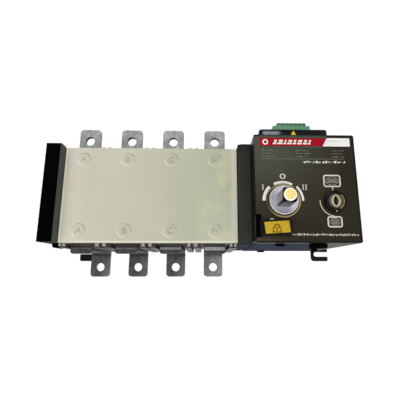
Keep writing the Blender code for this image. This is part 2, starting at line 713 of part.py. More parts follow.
def signal_switches():
    """The bank of position switches beside the drums."""
    return block("signal_switches", SWITCHES_X, SWITCHES_Y, SWITCHES_Z, BLACK)


def lock_barrel():
    """The black lock body with its bezel on the face."""
    bezel_back = BOX_FRONT - GAP
    bore = KEY_RADIUS + GAP
    profile = [
        (bore, LOCK_FRONT), (LOCK_BEZEL_RADIUS - SMALL_EDGE, LOCK_FRONT),
        (LOCK_BEZEL_RADIUS, LOCK_FRONT + SMALL_EDGE), (LOCK_BEZEL_RADIUS, bezel_back),
        (LOCK_BARREL_RADIUS, bezel_back), (LOCK_BARREL_RADIUS, LOCK_BACK), (bore, LOCK_BACK),
    ]
    return turned("lock_barrel", LOCK_X, LOCK_Z, profile, BLACK, steps=32, closed=True)


def key_cylinder():
    """The turning cylinder with its keyway and the cam arm behind."""
    front = LOCK_FRONT - GAP
    cylinder = rod("key_cylinder", "Y", front, KEY_BACK, (LOCK_X, LOCK_Z), KEY_RADIUS, BRIGHT, segments=28)
    cam_x = (LOCK_X - CAM_HALF_WIDTH, LOCK_X + CAM_HALF_WIDTH)
    cam_z = (LOCK_Z - CAM_REACH, LOCK_Z + CAM_HALF_WIDTH)
    fuse(cylinder, block("key_cylinder_cam", cam_x, CAM_Y, cam_z))
    keyway_x = (LOCK_X - KEYWAY_HALF_WIDTH, LOCK_X + KEYWAY_HALF_WIDTH)
    keyway_z = (LOCK_Z - KEYWAY_HALF_HEIGHT, LOCK_Z + KEYWAY_HALF_HEIGHT)
    keyway_y = (front - PAST, front + KEYWAY_DEPTH)
    return cut(cylinder, block("key_cylinder_keyway", keyway_x, keyway_y, keyway_z))


def padlock_hasp():
    """A tab on the face with a blade through the notch; pulled out, the blade bares its padlock hole."""
    front = BOX_FRONT - HASP_TAB_THICKNESS
    tab_x = (HASP_BLADE_X[0], HASP_TAB_X[1])
    tab = block("padlock_hasp", tab_x, (front, BOX_FRONT - GAP), HASP_TAB_Z, BLACK)
    round_edges(tab, "Y", HASP_TAB_CORNER, lambda middle: middle.x > HASP_TAB_X[0])
    blade_y = (front + SMALL_EDGE, HASP_BLADE_BACK)
    blade_z = (HASP_TAB_Z[0] + SMALL_EDGE, HASP_TAB_Z[1] - SMALL_EDGE)
    fuse(tab, block("padlock_hasp_blade", HASP_BLADE_X, blade_y, blade_z))
    hole_x = (HASP_BLADE_X[0] - PAST, HASP_BLADE_X[1] + PAST)
    hole_centre = (HASP_HOLE_Y, sum(HASP_TAB_Z) / 2)
    return cut(tab, rod("padlock_hasp_hole", "X", *hole_x, hole_centre, HASP_HOLE_RADIUS, segments=20))


# ---------------------------------------------------------------- control terminal
def terminal_shroud():
    """The glossy collar round the control terminal, open above and below."""
    z = (BOX_TOP - COVER_WALL, SHROUD_TOP)
    shroud = block("terminal_shroud", SHROUD_X, SHROUD_Y, z, GLOSS_BLACK)
    round_edges(shroud, "Z", SHROUD_CORNER, lambda middle: True)
    inside_x = (SHROUD_X[0] + SHROUD_WALL, SHROUD_X[1] - SHROUD_WALL)
    inside_y = (SHROUD_Y[0] + SHROUD_WALL, SHROUD_Y[1] - SHROUD_WALL)
    return cut(shroud, block("terminal_shroud_inside", inside_x, inside_y, (z[0] - PAST, z[1] + PAST)))


def plug_half_width():
    """The plug is its ways plus one pitch of flange at each end."""
    return (PLUG_WAYS + 2) * PLUG_PITCH / 2


def terminal_header():
    """The fixed half of the control terminal, standing on the board."""
    half = plug_half_width()
    x = (PLUG_CENTRE_X - half, PLUG_CENTRE_X + half)
    header = block("terminal_header", x, PLUG_Y, (BOARD_Z[1] + GAP, PLUG_BODY_Z[0] - GAP), GREEN)
    socket_x = (x[0] + SOCKET_WALL, x[1] - SOCKET_WALL)
    socket_y = (PLUG_Y[0] + SOCKET_WALL, PLUG_Y[1] - SOCKET_WALL)
    return cut(header, block("terminal_header_socket", socket_x, socket_y, (SOCKET_FLOOR, PLUG_TOP)))


def terminal_plug():
    """The pull-off half of the control terminal, with a screw well and a wire entry for each way."""
    half = plug_half_width()
    x = (PLUG_CENTRE_X - half, PLUG_CENTRE_X + half)
    plug = block("terminal_plug", x, PLUG_Y, PLUG_BODY_Z, GREEN)
    upper = half - PLUG_PITCH
    upper_x = (PLUG_CENTRE_X - upper, PLUG_CENTRE_X + upper)
    inside = PLUG_BODY_Z[0] + SMALL_EDGE
    fuse(plug, block("terminal_plug_upper", upper_x, PLUG_Y, (inside, PLUG_TOP)))
    neck = SOCKET_WALL + GAP
    neck_y = (PLUG_Y[0] + neck, PLUG_Y[1] - neck)
    fuse(plug, block("terminal_plug_neck", (x[0] + neck, x[1] - neck), neck_y, (SOCKET_FLOOR + GAP, inside)))
    first = PLUG_CENTRE_X - (PLUG_WAYS - 1) * PLUG_PITCH / 2
    wells = []
    entries = []
    for way in range(PLUG_WAYS):
        way_x = first + way * PLUG_PITCH
        wells.append((Vector((way_x, PLUG_Y[0], PLUG_WELL_Z)), PLUG_WELL_RADIUS, 2 * PLUG_WELL_DEPTH))
        entries.append((Vector((way_x, PLUG_ENTRY_Y, PLUG_TOP)), PLUG_ENTRY_RADIUS, 2 * PLUG_ENTRY_DEPTH))
    cut(plug, cylinders("terminal_plug_wells", "Y", wells, segments=12))
    return cut(plug, cylinders("terminal_plug_entries", "Z", entries, segments=12))


def control_board():
    return block("control_board", BOARD_X, BOARD_Y, BOARD_Z, BOARD)


# ---------------------------------------------------------------- base
def base_plate():
    """The steel plate that lies on the wall."""
    z = (-BASE_HALF_HEIGHT, BASE_HALF_HEIGHT)
    return block("base_plate", BASE_X, (-BASE_THICKNESS, 0.0), z, STEEL)


def rail(name, side):
    """A packing rail between the rear module and the base plate."""
    z = (side * RAIL_Z[0], side * RAIL_Z[1])
    return block(name, RAIL_X, (REAR_PLATE[1] + GAP, -BASE_THICKNESS - GAP), z, STEEL)


def foot(name, side, up):
    """A black foot at a corner of the base: a forked end with an open bolt slot, and a tongue inwards."""
    inner = {1: BASE_X[1] + GAP, -1: -BASE_X[0] + GAP}[side]
    y = (-BASE_THICKNESS, 0.0)
    fork_x = (side * FOOT_INNER, side * FOOT_OUTER)
    fork = block(name, fork_x, y, (up * FOOT_Z[0], up * FOOT_Z[1]), BLACK_STEEL)
    heel = (FOOT_INNER + FOOT_OUTER) / 2
    round_edges(fork, "Y", FOOT_CORNER, lambda m: abs(m.z) > sum(FOOT_Z) / 2 and abs(m.x) > heel, 3)
    round_edges(fork, "Y", FOOT_HEEL_CORNER, lambda m: abs(m.z) > sum(FOOT_Z) / 2 and abs(m.x) < heel, 4)
    tongue_z = (up * FOOT_TONGUE_Z[0], up * FOOT_TONGUE_Z[1])
    fuse(fork, block(name + "_tongue", (side * inner, side * FOOT_TONGUE_TIP), y, tongue_z))
    slot_end = FOOT_OUTER - FOOT_SLOT_DEPTH
    slot_x = (side * slot_end, side * (FOOT_OUTER + PAST))
    slot_y = (-BASE_THICKNESS - PAST, PAST)
    slot_inner = FOOT_SLOT_INNER[side]
    slot_z = (up * slot_inner, up * (slot_inner + FOOT_SLOT_WIDTH))
    cut(fork, block(name + "_slot", slot_x, slot_y, slot_z))
    centre = (side * slot_end, sum(slot_z) / 2)
    return cut(fork, rod(name + "_slot_end", "Y", *slot_y, centre, FOOT_SLOT_WIDTH / 2, segments=16))


# ---------------------------------------------------------------- assembly
def switch_modules():
    front_floor = (FRONT_HOUSING[0] - PAST, FRONT_HOUSING[1] - CELL_FLOOR)
    rear_floor = (REAR_HOUSING[1] + PAST, REAR_HOUSING[0] + CELL_FLOOR)
    for index, (phase, pole_x) in enumerate(POLES):
        source_terminal("source1_terminal_" + phase, pole_x, FRONT_BAR_Y)
        source_terminal("source2_terminal_" + phase, pole_x, REAR_BAR_Y)
        load_bar("load_bar_" + phase, pole_x)
        load_link("load_link_" + phase, pole_x)
        name = "front_pole_housing_" + phase
        front = pole_housing(name, index, FRONT_HOUSING, front_floor, FRONT_BAR_Y, FRONT_ROTOR_Y)
        cut(front, clip_room(name))
        pole_housing("rear_pole_housing_" + phase, index, REAR_HOUSING, rear_floor, REAR_BAR_Y, REAR_ROTOR_Y)
    front_plate()
    rear_plate()
    rotor("front_rotor", FRONT_ROTOR_Y)
    rotor("rear_rotor", REAR_ROTOR_Y)
    end_frame()
    spacer_cover()
    spacer_frame()


def drive_box():
    front_cover()
    chassis()
    bottom_plate()
    bottom_screw("bottom_screw_front", SCREW_FRONT_Y)
    bottom_screw("bottom_screw_rear", SCREW_REAR_Y)
    cover_latch()
    dial_ring()
    dial_cup()
    drive_shaft()
    motor_pinion()
    motor()
    drive_bore = (DIAL_X, SHAFT_RADIUS)
    motor_bore = (DIAL_X + GEAR_CENTRES, MOTOR_SHAFT_RADIUS)
    carrier_plate("carrier_plate_front", FRONT_CARRIER_Y, [drive_bore, motor_bore])
    carrier_plate("carrier_plate_rear", REAR_CARRIER_Y, [drive_bore])
    signal_switches()
    lock_barrel()
    key_cylinder()
    padlock_hasp()
    terminal_shroud()
    terminal_header()
    terminal_plug()
    control_board()


def base():
    base_plate()
    rail("rail_top", 1)
    rail("rail_bottom", -1)
    for side, hand in ((-1, "left"), (1, "right")):
        for up, level in ((1, "top"), (-1, "bottom")):
            foot("foot_" + level + "_" + hand, side, up)


switch_modules()
drive_box()
base()
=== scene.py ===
"""Looks for a four-pole automatic transfer switch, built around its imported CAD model.

Places are in metres in the model's own frame: the wall is Y = 0, the front looks along -Y and +Z is up.
Offsets, radii and rounded edges that are handed to the helpers are in millimetres.
"""
import json
import math

import bmesh
import bpy
from mathutils import Matrix, Vector

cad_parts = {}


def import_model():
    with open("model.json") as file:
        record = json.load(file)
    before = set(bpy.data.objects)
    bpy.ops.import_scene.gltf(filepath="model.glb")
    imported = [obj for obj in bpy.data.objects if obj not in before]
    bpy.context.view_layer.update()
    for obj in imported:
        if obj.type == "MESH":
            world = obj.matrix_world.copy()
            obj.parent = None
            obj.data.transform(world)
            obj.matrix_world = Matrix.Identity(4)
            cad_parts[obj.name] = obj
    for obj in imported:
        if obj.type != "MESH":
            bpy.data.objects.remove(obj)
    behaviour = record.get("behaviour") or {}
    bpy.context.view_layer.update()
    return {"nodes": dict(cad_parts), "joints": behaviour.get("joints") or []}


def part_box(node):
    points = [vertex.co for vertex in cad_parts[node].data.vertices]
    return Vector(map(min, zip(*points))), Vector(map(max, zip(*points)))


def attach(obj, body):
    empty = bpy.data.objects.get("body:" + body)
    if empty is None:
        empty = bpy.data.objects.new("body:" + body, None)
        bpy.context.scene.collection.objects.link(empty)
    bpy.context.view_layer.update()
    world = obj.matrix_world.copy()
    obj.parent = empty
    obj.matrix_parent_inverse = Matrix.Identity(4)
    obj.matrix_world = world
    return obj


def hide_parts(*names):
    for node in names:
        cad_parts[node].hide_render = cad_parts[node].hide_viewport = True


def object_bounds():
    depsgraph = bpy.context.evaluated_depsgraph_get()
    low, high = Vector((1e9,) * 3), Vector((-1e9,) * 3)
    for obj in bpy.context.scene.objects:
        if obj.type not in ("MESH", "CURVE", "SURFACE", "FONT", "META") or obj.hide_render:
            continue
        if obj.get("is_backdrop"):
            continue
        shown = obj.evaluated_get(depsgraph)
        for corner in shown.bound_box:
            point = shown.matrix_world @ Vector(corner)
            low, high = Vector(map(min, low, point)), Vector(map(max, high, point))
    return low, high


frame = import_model()

MM = 0.001
PHASES = "ABCN"
JOINTS = {joint["name"]: joint for joint in frame["joints"]}
DIAL = Vector(JOINTS["drive_turn"]["pos_m"])
LOCK = Vector(JOINTS["key_turn"]["pos_m"])
PINION = Vector(JOINTS["pinion_turn"]["pos_m"])
COVER_LOW, COVER_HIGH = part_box("front_cover")
PLATE_LOW, PLATE_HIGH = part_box("front_plate")
FACE_Y = COVER_LOW.y
FILM_Y = FACE_Y - 0.12 * MM
PRINT_Y = FILM_Y - 0.06 * MM

BAR_CORNER = 4.3
BAR_HOLE = 5.35
SQUARE_TURN = 4  # degrees that the square bar leans at rest
SQUARE_HALF = 7
SQUARE_FLAT = 5.5  # half of each flat side, between the chamfers
PLUG_PITCH = 5.08
ROOM = 0.62  # strength of the studio's walls in front of the switch
BACKDROP = 1.05


def span(base, start, end):
    """Two coordinates, given as offsets from a base."""
    return base + start * MM, base + end * MM


def at(x, z, *offsets):
    """Points given as offsets from one point."""
    return [(x + u * MM, z + v * MM) for u, v in offsets]


# ---------------------------------------------------------------- procedural materials
def screen(*levels):
    """A linear colour from the 0 to 255 values that a screen shows."""
    return tuple(((v / 255 + 0.055) / 1.055) ** 2.4 if v > 10 else v / 255 / 12.92 for v in levels)


def scaled(colour, factor):
    return tuple(factor * v for v in colour)


class Finish:
    """A Principled material whose inputs are fed by short chains of nodes."""

    def __init__(self, name, colour, roughness, metallic=0.0, specular=0.5):
        self.material = bpy.data.materials.new(name)
        self.material.use_nodes = True
        self.nodes = self.material.node_tree.nodes
        self.links = self.material.node_tree.links
        self.shader = self.nodes["Principled BSDF"]
        self.shader.inputs["Metallic"].default_value = metallic
        self.shader.inputs["Specular IOR Level"].default_value = specular
        self.colour = self.constant("RGB", (*colour, 1.0))
        self.roughness = self.constant("Value", roughness)
        self.height = None
        self.place = self.add("TexCoord", output="Object")

    def add(self, kind, inputs=(), output=0, **settings):
        """Adds a node, feeds its inputs from sockets or plain values, and gives one of its outputs."""
        node = self.nodes.new("ShaderNode" + kind)
        for name, setting in settings.items():
            setattr(node, name, setting)
        for key, source in dict(inputs).items():
            if isinstance(source, bpy.types.NodeSocket):
                self.links.new(source, node.inputs[key])
            else:
                node.inputs[key].default_value = source
        return node.outputs[output]

    def constant(self, kind, value):
        output = self.add(kind)
        output.default_value = value
        return output

    def math(self, operation, first, second=0.0):
        return self.add("Math", {0: first, 1: second}, operation=operation)

    def mapped(self, stretch=(1, 1, 1), offset=(0, 0, 0)):
        return self.add("Mapping", {"Vector": self.place, "Scale": stretch, "Location": offset})

    def noise(self, size, detail=3.0, rough=0.5, stretch=(1, 1, 1)):
        """Cloud noise whose blobs are about 'size' across, as a factor around a half."""
        place, scale = self.mapped(stretch), 1 / (size * MM)
        inputs = {"Vector": place, "Scale": scale, "Detail": detail, "Roughness": rough}
        return self.add("TexNoise", inputs, "Fac")

    def cells(self, size):
        """One grey value for each Voronoi cell about 'size' across."""
        colour = self.add("TexVoronoi", {"Vector": self.mapped(), "Scale": 1 / (size * MM)}, "Color")
        return self.add("RGBToBW", {0: colour})

    def along(self, axis, start, end):
        """0 to 1 from one coordinate to another along an axis."""
        return self.remap(self.add("SeparateXYZ", {0: self.place}, axis), start, end)

    def facing(self, axis, start, end):
        """0 to 1 as the surface's normal turns from one value to another along an axis."""
        normal = self.add("NewGeometry", output="Normal")
        return self.remap(self.add("SeparateXYZ", {0: normal}, axis), start, end)

    def rings(self, centre):
        """Fine concentric turning marks about a line along Y."""
        place = self.mapped(offset=(-centre[0], 0, -centre[2]))
        sides = [self.add("SeparateXYZ", {0: place}, axis) for axis in "XZ"]
        radius = self.math("SQRT", self.math("ADD", *(self.math("MULTIPLY", side, side) for side in sides)))
        inputs = {"W": radius, "Scale": 1 / (0.25 * MM), "Detail": 2.0}
        return self.add("TexNoise", inputs, "Fac", noise_dimensions="1D")

    def remap(self, value, low, high, to_low=0.0, to_high=1.0):
        inputs = {"Value": value, "From Min": low, "From Max": high, "To Min": to_low, "To Max": to_high}
        return self.add("MapRange", inputs, "Result")

    def mix(self, factor, first, second, blend="MIX"):
        inputs = {"Factor": factor, "A": first, "B": second}
        return self.add("Mix", inputs, "Result", data_type="RGBA", blend_type=blend)

    def tint(self, factor, colour):
        """Mixes the colour so far towards another by a factor."""
        self.colour = self.mix(factor, self.colour, self.constant("RGB", (*colour, 1.0)))

    def fade(self, colour, axis, start, end):
        """Mixes the colour so far towards another from one coordinate to the next."""
        self.tint(self.along(axis, start, end), colour)

    def vary(self, factor, low, high):
        """Scales the colour so far between two shades of grey by a factor around a half."""
        shade = self.remap(factor, 0.3, 0.7, low, high)
        grey = self.add("CombineColor", {channel: shade for channel in range(3)})
        self.colour = self.mix(1.0, self.colour, grey, "MULTIPLY")

    def mottle(self, low, high, *noise):
        """Varies the colour by noise."""
        self.vary(self.noise(*noise), low, high)

    def sheen(self, low, high, factor):
        """Sets the roughness between two values by a factor around a half."""
        self.roughness = self.remap(factor, 0.3, 0.7, low, high)

    def relief(self, height, depth):
        """Adds a height to the surface's relief."""
        scaled_height = self.math("MULTIPLY", height, depth * MM)
        self.height = scaled_height if self.height is None else self.math("ADD", self.height, scaled_height)

    def grain(self, depth, *noise):
        """Adds noise to the surface's relief."""
        self.relief(self.noise(*noise), depth)

    def edges(self, colour, width, amount, patchy=True):
        """Changes the colour along sharp edges, where a finish rubs thin or a rounded edge catches light."""
        soft = self.add("Bevel", {"Radius": width * MM}, samples=4)
        normals = {0: soft, 1: self.add("NewGeometry", output="Normal")}
        match = self.add("VectorMath", normals, "Value", operation="DOT_PRODUCT")
        factor = self.remap(match, 0.98, 0.80, 0.0, amount)
        if patchy:
            factor = self.math("MULTIPLY", factor, self.remap(self.noise(2, 4.0, 0.7), 0.42, 0.62))
        self.tint(factor, colour)

    def done(self):
        outputs = {"Base Color": self.colour, "Roughness": self.roughness}
        if self.height is not None:
            outputs["Normal"] = self.add("Bump", {"Distance": 1.0, "Height": self.height})
        for name, socket in outputs.items():
            self.links.new(socket, self.shader.inputs[name])
        return self.material


def cream_plastic(name="cream_plastic", level=1.0):
    """Moulded thermoset whose colour carries painted light: a painted reflection makes it warmer at the left
    and greener, with faint pale clouds, towards the drive box; pale lines along its edges are painted
    highlights and a grey band along the bottom is painted shade.
    """
    warm, green = (scaled(screen(*c), level) for c in ((188, 184, 168), (168, 171, 149)))
    left, right, bottom = PLATE_LOW.x, PLATE_HIGH.x, PLATE_LOW.z
    pale = scaled(warm, 1.3)
    finish = Finish(name, warm, 0.40, specular=0.35)
    # Painted reflection: warmer at the left, greener towards the drive box.
    finish.fade(green, "X", left + 30 * MM, right - 30 * MM)
    # Painted light: paler towards the left end.
    finish.fade(scaled(warm, 1.19), "X", *span(left, 30, 4))
    # Painted light: paler green towards the bottom near the drive box.
    near_box = finish.along("X", *span(right, -50, -28))
    corner = finish.math("MULTIPLY", finish.along("Z", *span(bottom, 70, 10)), near_box)
    finish.tint(corner, scaled(green, 1.17))
    # Painted reflection: faint pale clouds near the drive box.
    clouds = finish.remap(finish.noise(22, 4.0, 0.6), 0.48, 0.64, 0.0, 0.50)
    finish.tint(finish.math("MULTIPLY", clouds, near_box), screen(197, 193, 152))
    finish.mottle(0.97, 1.03, 60, 2.0)
    finish.mottle(0.97, 1.03, 0.5, 2.0)
    # Painted highlight along the edges.
    finish.edges(scaled(warm, 1.35), 0.4, 0.6, patchy=False)
    # Painted highlights: pale lines along the bottom, left and right edges.
    finish.fade(pale, "Z", *span(bottom, 6.2, 5.0))
    finish.fade(scaled(pale, 1.3), "X", *span(left, 3.0, 1.0))
    finish.fade(pale, "X", *span(right, -9.0, -1.0))
    # Painted shade: grey along the bottom, over the clips.
    finish.fade(screen(140, 138, 130), "Z", *span(bottom, 4.2, 3.4))
    finish.sheen(0.34, 0.46, finish.noise(30))
    finish.grain(0.02, 0.35, 2.0)
    return finish.done()


def lit_cream():
    """The sloped sides of the sunk marks, with painted light and shade: darker than the plate, and paler
    where they face the upper right.
    """
    finish = Finish("mark_edges_painted_light", screen(140, 138, 122), 0.45, specular=0.3)
    right, up = finish.facing("X", -0.25, 0.25), finish.facing("Z", -0.25, 0.25)
    # Painted light: paler where the surface faces the upper right.
    finish.tint(finish.math("MULTIPLY", finish.math("ADD", right, up), 0.5), screen(216, 213, 197))
    finish.mottle(0.96, 1.04, 0.5, 2.0)
    return finish.done()


def moulding(name, colour):
    """Coarse dark moulding compound with a few paler filler specks."""
    finish = Finish(name, colour, 0.55, specular=0.3)
    finish.tint(finish.remap(finish.noise(0.8, 2.0), 0.60, 0.70, 0.0, 0.5), screen(96, 97, 94))
    finish.mottle(0.80, 1.20, 12, 4.0, 0.6)
    finish.sheen(0.47, 0.63, finish.noise(5))
    finish.grain(0.04, 0.4, 3.0)
    return finish.done()


def satin_plastic(name, colour, roughness, specular=0.5, grain=0.015):
    """Moulded plastic with a fine spark-eroded grain."""
    finish = Finish(name, screen(*colour), roughness, specular=specular)
    finish.mottle(0.92, 1.08, 15)
    finish.sheen(roughness * 0.85, roughness * 1.15, finish.noise(8))
    finish.grain(grain, 0.3, 2.0)
    return finish.done()


def spacer_plastic():
    """The spacer's dark grey cover, bluer and darker towards its top."""
    finish = Finish("spacer_black", screen(44, 47, 41), 0.5, specular=0.12)
    finish.fade(screen(22, 27, 34), "Z", *span(PLATE_HIGH.z, -12, 0))
    finish.mottle(0.92, 1.08, 15)
    finish.mottle(0.95, 1.05, 2, 4.0, 0.7, (1, 1, 0.1))
    finish.grain(0.015, 0.3, 2.0)
    return finish.done()


def painted_steel(name, colour, roughness, wear, specular):
    """Powder-coated sheet with orange peel, rubbed a little at the edges."""
    finish = Finish(name, screen(*colour), roughness, specular=specular)
    finish.mottle(0.92, 1.08, 25)
    finish.sheen(roughness - 0.06, roughness + 0.06, finish.noise(6))
    finish.grain(0.03, 0.9, 2.0)
    finish.edges(screen(*wear), 0.3, 0.5)
    return finish.done()


def zinc_sheet(name, colour):
    """Galvanised sheet with a faint spangle and rolling marks."""
    finish = Finish(name, screen(*colour), 0.4, metallic=0.75)
    finish.vary(finish.cells(5), 0.93, 1.05)
    finish.mottle(0.94, 1.06, 1.5, 4.0, 0.6, (1, 1, 8))
    finish.sheen(0.36, 0.46, finish.cells(5))
    finish.grain(0.01, 0.6, 3.0, 0.6, (1, 1, 6))
    return finish.done()


def tinned_copper(name, grey, roughness, speckle=(0.70, 1.28), sides=None, dark_above=None):
    """Copper with a matt, granular tin plating, with pale edges as a painted highlight; if asked it is paler
    at one side as painted light and darker near the housing as painted shade.
    """
    colour = screen(*grey)
    finish = Finish(name, colour, roughness, metallic=0.8)
    if sides:
        # Painted light: paler towards one side.
        finish.fade(scaled(colour, 1.9), "X", *sides)
        # Painted shade: darker near the housing.
        finish.fade(scaled(colour, 0.45), "Z", *span(dark_above, -5, 0))
    finish.mottle(0.72, 1.32, 9, 3.0, 0.7)
    finish.mottle(*speckle, 1.3, 5.0, 0.8)
    finish.mottle(0.86, 1.12, 6, 3.0, 0.6, (1, 1, 0.5))
    streaks = finish.noise(1.0, 3.0, 0.7, (1.0, 1.0, 0.06))
    finish.vary(streaks, 0.88, 1.12)
    # Painted highlight along the edges.
    finish.edges(scaled(colour, 1.9), 0.5, 0.6)
    finish.sheen(roughness - 0.12, roughness + 0.15, finish.noise(1.8, 4.0, 0.7))
    finish.grain(0.05, 0.9, 4.0, 0.7)
    finish.relief(streaks, 0.02)
    return finish.done()


def turned_metal(name, colour, roughness, centre, metallic=1.0):
    """Bright metal with fine concentric turning marks."""
    finish = Finish(name, screen(*colour), roughness, metallic)
    marks = finish.rings(centre)
    finish.vary(marks, 0.86, 1.08)
    finish.mottle(0.92, 1.06, 4)
    finish.sheen(roughness - 0.06, roughness + 0.08, finish.noise(2))
    finish.relief(marks, 0.01)
    return finish.done()


def ring_zinc():
    """The dial's yellow ring, darker at the left where it turns from the light."""
    finish = Finish("ring_zinc", screen(150, 136, 84), 0.36, metallic=0.8)
    finish.fade(screen(84, 78, 50), "X", *span(DIAL.x, -7, -17))
    marks = finish.rings(DIAL)
    finish.vary(marks, 0.86, 1.08)
    finish.relief(marks, 0.01)
    return finish.done()


def milled_metal(name, colour, roughness=0.35, metallic=1.0, clouds=(0.80, 1.12, 5), below=None):
    """Bright metal with straight milling marks, with painted shade where it faces down if asked."""
    finish = Finish(name, screen(*colour), roughness, metallic)
    marks = finish.noise(0.6, 3.0, 0.6, (1, 0.08, 1))
    finish.vary(marks, 0.85, 1.10)
    finish.mottle(*clouds)
    if below:
        # Painted shade on faces that face down.
        finish.tint(finish.facing("Z", -0.2, -0.9), screen(*below))
    finish.sheen(roughness - 0.08, roughness + 0.10, marks)
    finish.relief(marks, 0.012)
    return finish.done()


def face_film():
    """The printed film on the box: olive black, fine texture, darker towards the bottom and the right, and
    paler brown at the lower left corner.
    """
    left, bottom = COVER_LOW.x, COVER_LOW.z
    finish = Finish("face_film", screen(70, 70, 60), 0.5, specular=0.05)
    finish.fade(screen(44, 40, 29), "Z", COVER_HIGH.z - 25 * MM, bottom + 20 * MM)
    finish.fade(screen(40, 37, 28), "X", left + 25 * MM, COVER_HIGH.x - 15 * MM)
    corner = (finish.along("Z", *span(bottom, 12, 0)), finish.along("X", *span(left, 45, 0)))
    finish.tint(finish.math("MULTIPLY", *corner), screen(74, 66, 50))
    finish.mottle(0.92, 1.10, 30)
    finish.mottle(0.94, 1.08, 2, 4.0, 0.65, (0.15, 1, 1))
    finish.sheen(0.38, 0.52, finish.noise(10))
    finish.grain(0.012, 0.28, 2.0)
    return finish.done()


def ink(name, colour, roughness=0.5, uneven=(0.93, 1.05)):
    """Screen-printed ink, a little uneven."""
    finish = Finish(name, screen(*colour), roughness, specular=0.08)
    finish.mottle(*uneven, 0.6, 3.0, 0.6)
    finish.mottle(0.95, 1.04, 8, 2.0)
    finish.grain(0.006, 0.3, 2.0)
    return finish.done()


def panel_white():
    """The pale end of the banner, with faint grey bands."""
    finish = Finish("panel_white", screen(222, 221, 217), 0.45, specular=0.1)
    bands = finish.remap(finish.noise(1.6, 2.0, 0.5, (0.05, 1, 1)), 0.45, 0.6, 0.0, 0.8)
    finish.tint(bands, screen(196, 194, 190))
    finish.grain(0.006, 0.3, 2.0)
    return finish.done()


def sticker_yellow():
    """The yellow sticker, with faint mottling."""
    finish = Finish("sticker_yellow", screen(188, 156, 34), 0.42, specular=0.1)
    finish.tint(finish.remap(finish.noise(1.1, 3.0, 0.6), 0.5, 0.7, 0.0, 0.6), screen(158, 132, 44))
    finish.mottle(0.94, 1.06, 6, 2.0)
    finish.grain(0.01, 0.4, 2.0)
    return finish.done()


def circuit_board():
    """Green solder mask with faint tracks."""
    finish = Finish("circuit_board", (0.010, 0.10, 0.035), 0.35)
    finish.tint(finish.remap(finish.cells(3), 0.6, 0.62, 0.0, 0.5), (0.03, 0.20, 0.06))
    finish.mottle(0.9, 1.1, 5)
    return finish.done()


CREAM = cream_plastic()
# A darker copy of the plate's cream: painted shade on the letters and the end clips.
SHADED_CREAM = cream_plastic("cream_painted_shade", 0.76)
RIM_CREAM = lit_cream()
DARK_MOULDING = moulding("dark_moulding", screen(58, 58, 56))
BLACK = satin_plastic("black_plastic", (8, 8, 9), 0.42, 0.12)
END_BLACK = satin_plastic("end_black", (1, 2, 2), 0.5, 0.01)
END_GREY = satin_plastic("end_grey", (58, 59, 55), 0.5, 0.2)
SPACER_BLACK = spacer_plastic()
COVER_BLACK = painted_steel("cover_black", (16, 16, 14), 0.35, (52, 50, 42), 0.12)
GLOSS = satin_plastic("gloss_black", (2, 3, 9), 0.06, 0.15, 0.0)
LOCK_BLACK = satin_plastic("lock_black", (2, 3, 4), 0.14, 0.16, 0.003)
FILM = face_film()
ZINC = zinc_sheet("zinc_sheet", (176, 176, 172))
ZINC_DULL = zinc_sheet("zinc_dull", (160, 157, 150))
# Zinc darkened and without reflection, for the flange under the box: painted shade.
ZINC_SHADE = painted_steel("zinc_painted_shade", (98, 93, 88), 0.7, (150, 146, 138), 0.0)
# Black with no reflection at all: painted shade behind the notch and under the foot; the bottom screws and
# the latch use it too.
SHADE_BLACK = satin_plastic("shade_black", (7, 7, 9), 0.6, 0.0)
# Blue-grey paint kept this dark so that on the bottom plate it also stands for the shaded underside: partly
# painted shade.
BLUE_STEEL = painted_steel("blue_grey_steel", (50, 54, 65), 0.75, (84, 88, 98), 0.0)
BLACK_STEEL = painted_steel("black_steel", (9, 9, 12), 0.40, (60, 60, 62), 0.12)
BARE_BROWN = painted_steel("bare_brown", (44, 36, 30), 0.5, (150, 140, 120), 0.2)
TIN = tinned_copper("tinned_copper", (145, 148, 146), 0.46, (0.40, 1.55))
# Darker tin for the bolt-hole walls: painted shade.
TIN_SHADE = tinned_copper("tinned_hole", (92, 93, 92), 0.5)
# Darker tin for the links under the front module: painted shade.
LINK_DARK = tinned_copper("link_dark", (74, 74, 72), 0.5, (0.7, 1.3))
# Paler tin for the ridges on the links, paler from A to N: painted highlights.
LINK_TINS = [tinned_copper(f"link_highlight_tin_{i}", (v, v, v - 4), 0.42) for i, v in enumerate((84, 102, 134, 160))]
DISC_METAL = turned_metal("dial_metal", (212, 208, 220), 0.38, DIAL, 0.6)
# Near-white metal for the rim round the tip: a painted highlight.
RIM_METAL = turned_metal("tip_rim", (250, 248, 226), 0.30, DIAL, 0.3)
TIP = turned_metal("tip_brass", (244, 216, 136), 0.34, DIAL, 0.3)
GOLD = ring_zinc()
KEY_METAL = turned_metal("key_metal", (190, 179, 143), 0.30, LOCK, 0.8)
KEY_FACE = turned_metal("key_face", (92, 88, 76), 0.34, LOCK, 0.8)
LOCK_GOLD = turned_metal("lock_gold", (124, 112, 68), 0.34, LOCK, 0.8)
KEY_DARK = turned_metal("key_dark", (70, 68, 62), 0.35, LOCK)
SQUARE_METAL = milled_metal("square_bar_metal", (164, 157, 158), 0.30, 0.9, (0.70, 1.25, 6), (72, 71, 78))
GEAR_STEEL = milled_metal("gear_steel", (178, 178, 180))
SCREW_STEEL = milled_metal("screw_steel", (150, 150, 150))
GREEN = satin_plastic("green_plastic", (88, 152, 108), 0.5, 0.3)
GREEN_DARK = satin_plastic("green_shade", (44, 96, 66), 0.5, 0.2)
BOARD = circuit_board()
ROTOR = moulding("rotor_moulding", (0.14, 0.045, 0.028))
RED_INK = ink("red_ink", (147, 4, 24), 0.45)
WHITE_INK = ink("white_ink", (222, 220, 210))
NUMERAL_INK = ink("numeral_ink", (196, 194, 184))
PANEL_WHITE = panel_white()
